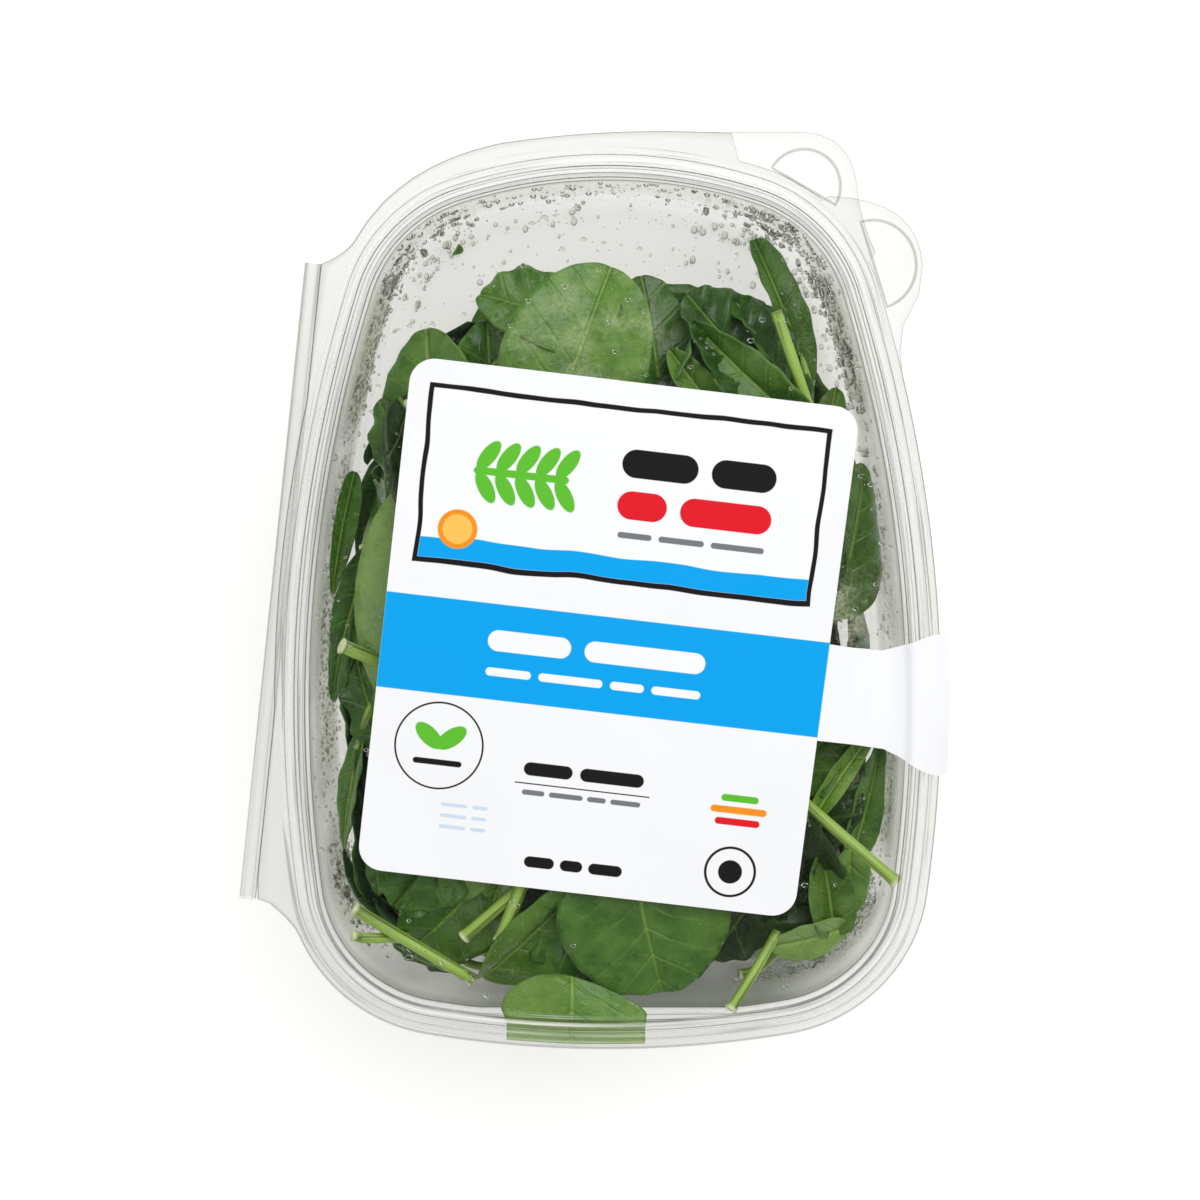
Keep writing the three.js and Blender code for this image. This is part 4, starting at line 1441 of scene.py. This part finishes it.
def standing(draw):
    """Leaves against the walls, in three rings."""
    made, around = [], 2 * sum(COARSE)
    for level, count in WALL_RINGS:
        for index in range(count):
            k = (index + draw.uniform(-0.3, 0.3)) / count * around
            # Towards the narrow end the heap is slimmer and lower, and one corner is bare.
            plan = HEAP.point(k % around, -5.0, COARSE)
            if plan.imag > 0:
                plan *= 0.93
            out = HEAP.outward(k % around, COARSE)
            heading = draw.uniform(0, 2 * math.pi)
            way = in_plan(out * 1j) * math.cos(heading)
            way += Vector((0, 0, 1)) * math.sin(heading) * 0.7
            span, width = draw.uniform(40, 58), draw.uniform(24, 38)
            middle = in_plan(plan, level + draw.uniform(-6, 6))
            if plan.imag > 60:
                middle.z = min(middle.z, 44)
            if plan.imag > 44 and plan.real > 40:
                continue
            top = middle.z + abs(way.z) * span / 2 + (1 - abs(way.z)) * width / 2
            middle.z -= max(top - SIDE_TOP, 0)
            base, tip = middle - way * span / 2, middle + way * span / 2
            made.append(Leaf(
                base, tip, width, in_plan(out, draw.uniform(-0.5, 0.5)), draw.uniform(0, 20),
                (draw.uniform(0, 16), draw.uniform(0, 16)),
                (draw.uniform(-20, 20), draw.uniform(-20, 20)),
                # Tones drawn as dark as the lying leaves: partly random tone, partly painted
                # shade for the gaps deep in the heap.
                wave=draw.uniform(0.4, 1.4), tone=draw.uniform(-0.4, 0.5),
                depth=draw.uniform(0.9, 3.2),
                stem=base - way * draw.uniform(10, 20) if index % 3 == 0 else (),
            ))
    return made


def heap_leaves(seed):
    """The rest of the heap, by piece."""
    draw = random.Random(seed)
    top = lying(draw, 46, 4, 0.009, on_top=True)
    floor = lying(draw, 5, 2)
    return {"heap_top": top, "heap_sides": standing(draw), "heap_floor": floor}


class CLAMSHELL_OT_spinach(bpy.types.Operator):
    """Makes the heap's dark core, the leaves on show and the rest of the heap"""

    bl_idname = "clamshell.spinach"
    bl_label = "Spinach"

    def execute(self, context):
        # Out under the heap, up its side and back in over it.
        profile = [
            (AXIS, 8), (-30, 7), (-12, 8), (-9, 14), (-8, 24), (-8, 36), (-9, 46), (-14, 52),
            (-24, 55), (-40, CORE_TOP), (AXIS, CORE_TOP),
        ]
        bm = bmesh.new()
        turned(bm, profile, rounding=3.0, place=heap_at)
        for vert in bm.verts:
            lump = noise.noise(vert.co / 16)
            vert.co.x *= 1 + 0.03 * lump
            vert.co.y *= 1 + 0.03 * lump
            vert.co.z += 4 * lump
            if vert.co.z > 20:
                droop = 0.011 * max(0, vert.co.y - DROOP_FROM) ** 2
                vert.co.z -= droop * min(vert.co.z / CORE_TOP, 1)
            vert.co.z = max(vert.co.z, 3)
        core = piece(bm, "heap_core", TRAY, "spinach", painted_core_shade("heap_shade"))
        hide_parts("spinach")
        seed = context.scene.clamshell_leaf.seed
        salad("leaves_shown", SHOWN_LEAVES, 18, 36, first_seed=100, bare=BARE_STEMS)
        for index, (name, leaves) in enumerate(heap_leaves(seed).items()):
            salad(name, leaves, 10, 18, first_seed=1000 * (index + 1))
        return {"FINISHED"}


CAUGHT_PATH = (                  # offset, and height above the tray's rim
    (-10.5, -0.6), (-6, 0.4), (-2, 1.0), (0.2, 1.3), (1.2, 1.9), (1.9, 2.15), (3.0, 2.15),
    (3.6, 1.6), (4.2, 0.6), (5.0, 0.25), (8.2, 0.2),
)
CAUGHT_SIDES = (-28.6, 10.7)     # x of its sides at the mouth
CAUGHT_PEAK = -13.0              # x of its highest point
CAUGHT_RIB = -9.5                # x of its midrib
CAUGHT_TUCK = (1.4, 0.5)         # how far each side comes in under the flange
CAUGHT_THICKNESS = 0.15          # it is pressed flat
CAUGHT_LENGTH = 20


def caught_sides(offset):
    """Its two sides: a round shoulder and a slope up to the peak, nearly square below."""
    left, right = CAUGHT_SIDES
    if offset > 0:
        under = clamp(offset / 3) ** 0.7
        return left + CAUGHT_TUCK[0] * under, right - CAUGHT_TUCK[1] * under
    rise = offset / CAUGHT_PATH[0][0]
    shoulder = (CAUGHT_PEAK - left) * (1 - math.sqrt(max(1 - rise * rise, 0)))
    slope = (right - CAUGHT_PEAK) * (0.85 * rise ** 1.5 + 0.15 * rise ** 12)
    return left + shoulder, right - slope


def along_path(path, offset):
    """Height of a path of (offset, height) at an offset."""
    for (a, low), (b, high) in zip(path, path[1:]):
        if offset <= b:
            return low + (high - low) * max(offset - a, 0) / (b - a)
    return path[-1][1]


class CLAMSHELL_OT_caught_leaf(bpy.types.Operator):
    """Makes the leaf that is caught between tray and lid at the foot"""

    bl_idname = "clamshell.caught_leaf"
    bl_label = "Caught leaf"

    def execute(self, context):
        bm, place, spread = leaf_mesh()
        foot_centre, foot_radius, _, _ = MOUTH.arcs[0]
        first, last = CAUGHT_PATH[0][0], CAUGHT_PATH[-1][0]
        grid = bmesh.ops.create_grid(bm, x_segments=24, y_segments=48, size=1)["verts"]
        for vert in grid:
            v, u = vert.co.x, (1 - vert.co.y) / 2
            offset = first + (last - first) * u
            left, right = caught_sides(offset)
            half = (right - left) / 2
            x = left + (v + 1) * half
            lift = along_path(CAUGHT_PATH, offset)
            reach = foot_radius + offset
            y = foot_centre.imag - math.sqrt(reach * reach - x * x)
            free = 1 - u
            lift += free * (0.5 * math.cos(v * 5) - 1.5 * v * v)
            # Paler where it lies under the flange: painted light for the haze and reflections of
            # the flange over it.
            tone = 0.8 + 1.1 * clamp(offset / 3)
            vert[place] = (x - CAUGHT_RIB, u * CAUGHT_LENGTH + 3, tone)
            vert[spread] = (v, u, half)
            vert.co = (x, y, RIM_Z + lift)
        bmesh.ops.remove_doubles(bm, verts=grid, dist=1e-3)
        face_up(bm)
        leaf_piece(bm, "caught_leaf", CAUGHT_THICKNESS)
        return {"FINISHED"}


# Droplets -----------------------------------------------------------------------------------

def dome(bm, around, rings, rise):
    """A droplet of radius 1 that stands on the XY plane."""
    bmesh.ops.create_uvsphere(bm, u_segments=around, v_segments=rings, radius=1)
    bmesh.ops.bisect_plane(
        bm, geom=everything(bm), dist=1e-4, plane_co=(0, 0, 0), plane_no=(0, 0, -1),
        clear_outer=True,
    )
    bmesh.ops.contextual_create(bm, geom=[edge for edge in bm.edges if edge.is_boundary])
    bmesh.ops.scale(bm, vec=(1, 1, rise), verts=bm.verts)
    recalculate(bm)


def droplets(name, body, places, finish, around=9, rings=6, rise=0.7):
    """Copies a droplet to each place: its spot, the way it points, its radius and stretch."""
    bm = bmesh.new()
    dome(bm, around, rings, rise)
    drop = bpy.data.meshes.new(name + "_pattern")
    bm.to_mesh(drop)
    bm.clear()
    for at, way, radius, stretch in places:
        turn = Vector((0, 0, 1)).rotation_difference(way)
        size = Vector((radius, radius * stretch, radius))
        stance = Matrix.LocRotScale(at, turn, size)
        drop.transform(stance)
        bm.from_mesh(drop)
        drop.transform(stance.inverted())
    bpy.data.meshes.remove(drop)
    return piece(bm, name, body, "clear_lid" if body == LID else "clear_tray", finish)


FINE_DROPS = 3600
INTO_SHEET = 0.02        # how far a droplet's base is inside the sheet it stands on
WALL_RISE = RIM_Z - 2    # the highest droplet, by the way up from the floor's edge
LOW_WALL = 12            # many droplets are below this


def inside_spot(k, rise):
    """A place on the tray's inside, so far up from the floor's edge, and the way in there."""
    turn = min(rise / FLOOR_FILLET, math.pi / 2)
    offset = FLOOR_FILLET * (math.sin(turn) - 1) + INTO_SHEET * math.sin(turn)
    z = WALL + FLOOR_FILLET * (1 - math.cos(turn)) - INTO_SHEET * math.cos(turn)
    z += rise - FLOOR_FILLET * turn
    # The wall is set out in whole steps, so the place is between the two nearest.
    low, high = (wall_at(math.floor(k) + n, offset, z) for n in (0, 1))
    spot = low + (high - low) * (k - math.floor(k))
    out = MOUTH.outward(k) * math.sin(turn)
    return in_plan(spot, z), in_plan(-out, math.cos(turn))


def lid_places(draw, count):
    """Places under the lid: near its rim, near its narrow end and in a misted patch."""
    made = []
    while len(made) < count:
        at = complex(draw.uniform(-80, 80), draw.uniform(-112, 110))
        out, _ = MOUTH.reach(at)
        if out > -1.5:
            continue
        near_end = clamp((at.imag - 40) / 60)
        misted = math.exp(-abs(at - MISTED_AT) ** 2 / 60)
        wet_side = 1.2 if at.real > 20 and at.imag > 10 else 0.3
        chance = 0.06 + 0.25 * near_end + wet_side * math.exp(out / 7) + 2 * misted
        if draw.random() > chance:
            continue
        radius = 0.2 + 0.5 * draw.random() ** 2
        spot = in_plan(at, LID_UNDER + INTO_SHEET)
        made.append((spot, Vector((0, 0, -1)), radius, draw.uniform(1, 1.8)))
    return made


def floor_places(draw, count):
    """Places on the tray's floor that lies bare at the narrow end."""
    made = []
    while len(made) < count:
        at = complex(draw.uniform(-78, 78), draw.uniform(56, 106))
        out, _ = FLOOR.reach(at)
        if out > -FLOOR_FILLET:
            continue
        radius = 0.22 + 0.7 * draw.random() ** 3
        spot = in_plan(at, WALL - INTO_SHEET)
        made.append((spot, Vector((0, 0, 1)), radius, draw.uniform(1, 1.6)))
    return made


def wall_places(draw, count):
    """Places on the tray's walls, in groups: more at the narrow end and near the floor."""
    made = []
    while len(made) < count:
        middle, level = draw.uniform(0, 2 * sum(FINE)), draw.random()
        at = MOUTH.point(middle, 0)
        wet = clamp((at.imag + 10) / 110, 0.05)
        if at.real > 30 and at.imag > 40:
            wet = 1.2
        if 2 * draw.random() > wet:
            continue
        rise = LOW_WALL * level
        if draw.random() >= 0.4:
            rise = LOW_WALL + (WALL_RISE - LOW_WALL) * level
        for _ in range(draw.randint(1, 6)):
            k = middle + draw.gauss(0, 1.2)
            spot, way = inside_spot(k, clamp(rise + draw.gauss(0, 4), 0, WALL_RISE))
            radius = 0.17 + 0.85 * draw.random() ** (2 if wet > 1 else 3)
            made.append((spot, way, radius, draw.uniform(1, 1.5)))
    return made


def bead_places(draw, count):
    """Places of fine beads on the walls, where the wall is misted."""
    made = []
    while len(made) < count:
        spot, way = inside_spot(draw.uniform(0, 2 * sum(FINE)), draw.uniform(8, 50))
        wet = max(
            strength * clamp(2 - 2 * math.hypot(spot.x - x, spot.y - y) / radius)
            for x, y, radius, strength in BEAD_PATCHES
        )
        if draw.random() * (1.2 - 1.4 * noise.noise(spot / 7)) < wet:
            radius = 0.3 + 0.3 * draw.random() ** 2
            if spot.x > 40 and spot.y > 30:
                radius *= 1.7
            made.append((spot, way, radius, draw.uniform(1, 1.3)))
    return made


class CLAMSHELL_OT_droplets(bpy.types.Operator):
    """Makes the droplets under the lid and inside the tray"""

    bl_idname = "clamshell.droplets"
    bl_label = "Droplets"

    def execute(self, context):
        look = context.scene.clamshell_leaf
        draw = random.Random(look.seed)
        drop_water = water("water", (0.05, 0.06, 0.04))
        droplets("lid_drops", LID, lid_places(draw, look.drops), drop_water)
        in_tray = floor_places(draw, look.drops // 2)
        in_tray += wall_places(draw, 5 * look.drops - len(in_tray))
        droplets("tray_drops", TRAY, in_tray, drop_water, rise=1.0)
        fine_water = water("fine_water", (0.11, 0.13, 0.07))
        beads = bead_places(draw, FINE_DROPS)
        droplets("fine_drops", TRAY, beads, fine_water, around=7, rings=4, rise=1.1)
        return {"FINISHED"}


# Stage --------------------------------------------------------------------------------------

# The stage is set out in metres.
LOOK_AT = Vector((-0.002, 0.0012, 0.071))
FRAME_WIDTH = 0.3144      # what the camera takes in across, at the lid
SENSOR = 36.0             # millimetres, as the lens is
FLOOR_DROP = 0.0002       # keeps the floor clear of the tray's underside
FLOOR_HALF = 3.0          # from the pack to each edge of the floor
FAR_END = 20.0            # farther things are not seen
CLEAR_FACES = 32          # clear faces that light passes, one behind another
LIGHTS = (                # name, place, width and power
    ("key", (0.5, 0.8, 1.2), 1.4, 16.5), ("fill", (-0.9, -0.2, 1.0), 0.8, 3.0),
)


def area_light(name, at, size, power):
    """A soft round light that looks at the middle of the pack."""
    light = bpy.data.lights.new(name, "AREA")
    light.shape, light.size, light.energy = "DISK", size, power
    lamp = bpy.data.objects.new(name, light)
    lamp.location = at
    lamp.rotation_euler = (-Vector(at)).to_track_quat("-Z", "Y").to_euler()
    bpy.context.scene.collection.objects.link(lamp)


class CLAMSHELL_OT_stage(bpy.types.Operator):
    """Makes the floor, the soft lights and the camera"""

    bl_idname = "clamshell.stage"
    bl_label = "Stage"

    def execute(self, context):
        scene, look = context.scene, context.scene.clamshell_stage
        bm = bmesh.new()
        bmesh.ops.create_grid(bm, x_segments=1, y_segments=1, size=FLOOR_HALF)
        bmesh.ops.translate(bm, verts=bm.verts, vec=(0, 0, -FLOOR_DROP))
        mesh = bpy.data.meshes.new("floor")
        bm.to_mesh(mesh)
        bm.free()
        mesh.materials.append(pale_floor("floor_paper"))
        floor = bpy.data.objects.new("floor", mesh)
        scene.collection.objects.link(floor)
        world = bpy.data.worlds.new("sky")
        world.use_nodes = True
        light = world.node_tree.nodes["Background"].inputs
        light["Strength"].default_value, light["Color"].default_value = look.sky, (1, 1, 1, 1)
        scene.world = world
        for light in LIGHTS:
            area_light(*light)
        scene.view_settings.view_transform = "Standard"
        scene.cycles.transparent_max_bounces = CLEAR_FACES
        camera = bpy.data.cameras.new("camera")
        camera.sensor_width = SENSOR
        camera.lens = SENSOR * look.distance / FRAME_WIDTH
        camera.clip_end = FAR_END
        view = bpy.data.objects.new("camera", camera)
        back = Vector((0, math.sin(look.tilt), math.cos(look.tilt)))
        view.location = LOOK_AT + back * look.distance
        view.rotation_euler = (-look.tilt, 0, 0)
        scene.collection.objects.link(view)
        scene.camera = view
        return {"FINISHED"}


# Panel and registration ---------------------------------------------------------------------

OPERATORS = (
    CLAMSHELL_OT_stage, CLAMSHELL_OT_tray, CLAMSHELL_OT_lid, CLAMSHELL_OT_label,
    CLAMSHELL_OT_spinach, CLAMSHELL_OT_caught_leaf, CLAMSHELL_OT_droplets,
)


class CLAMSHELL_PT_panel(bpy.types.Panel):
    """Lists the pieces of the pack"""

    bl_idname = "CLAMSHELL_PT_panel"
    bl_label = "Spinach clamshell"
    bl_space_type = "VIEW_3D"
    bl_region_type = "UI"
    bl_category = "Clamshell"

    def draw(self, context):
        for group in SETTINGS:
            settings = getattr(context.scene, group)
            for name in settings.__annotations__:
                self.layout.prop(settings, name)
        for operator in OPERATORS:
            self.layout.operator(operator.bl_idname)


SETTINGS = {
    "clamshell_pack": PackSettings, "clamshell_leaf": LeafSettings,
    "clamshell_stage": StageSettings,
}
CLASSES = (*SETTINGS.values(), *OPERATORS, CLAMSHELL_PT_panel)


def register():
    for made in CLASSES:
        bpy.utils.register_class(made)
    for name, group in SETTINGS.items():
        setattr(bpy.types.Scene, name, PointerProperty(type=group))


def unregister():
    for name in SETTINGS:
        delattr(bpy.types.Scene, name)
    for made in reversed(CLASSES):
        bpy.utils.unregister_class(made)


def main():
    register()
    for operator in OPERATORS:
        section, name = operator.bl_idname.split(".")
        getattr(getattr(bpy.ops, section), name)()


if __name__ == "__main__":
    main()
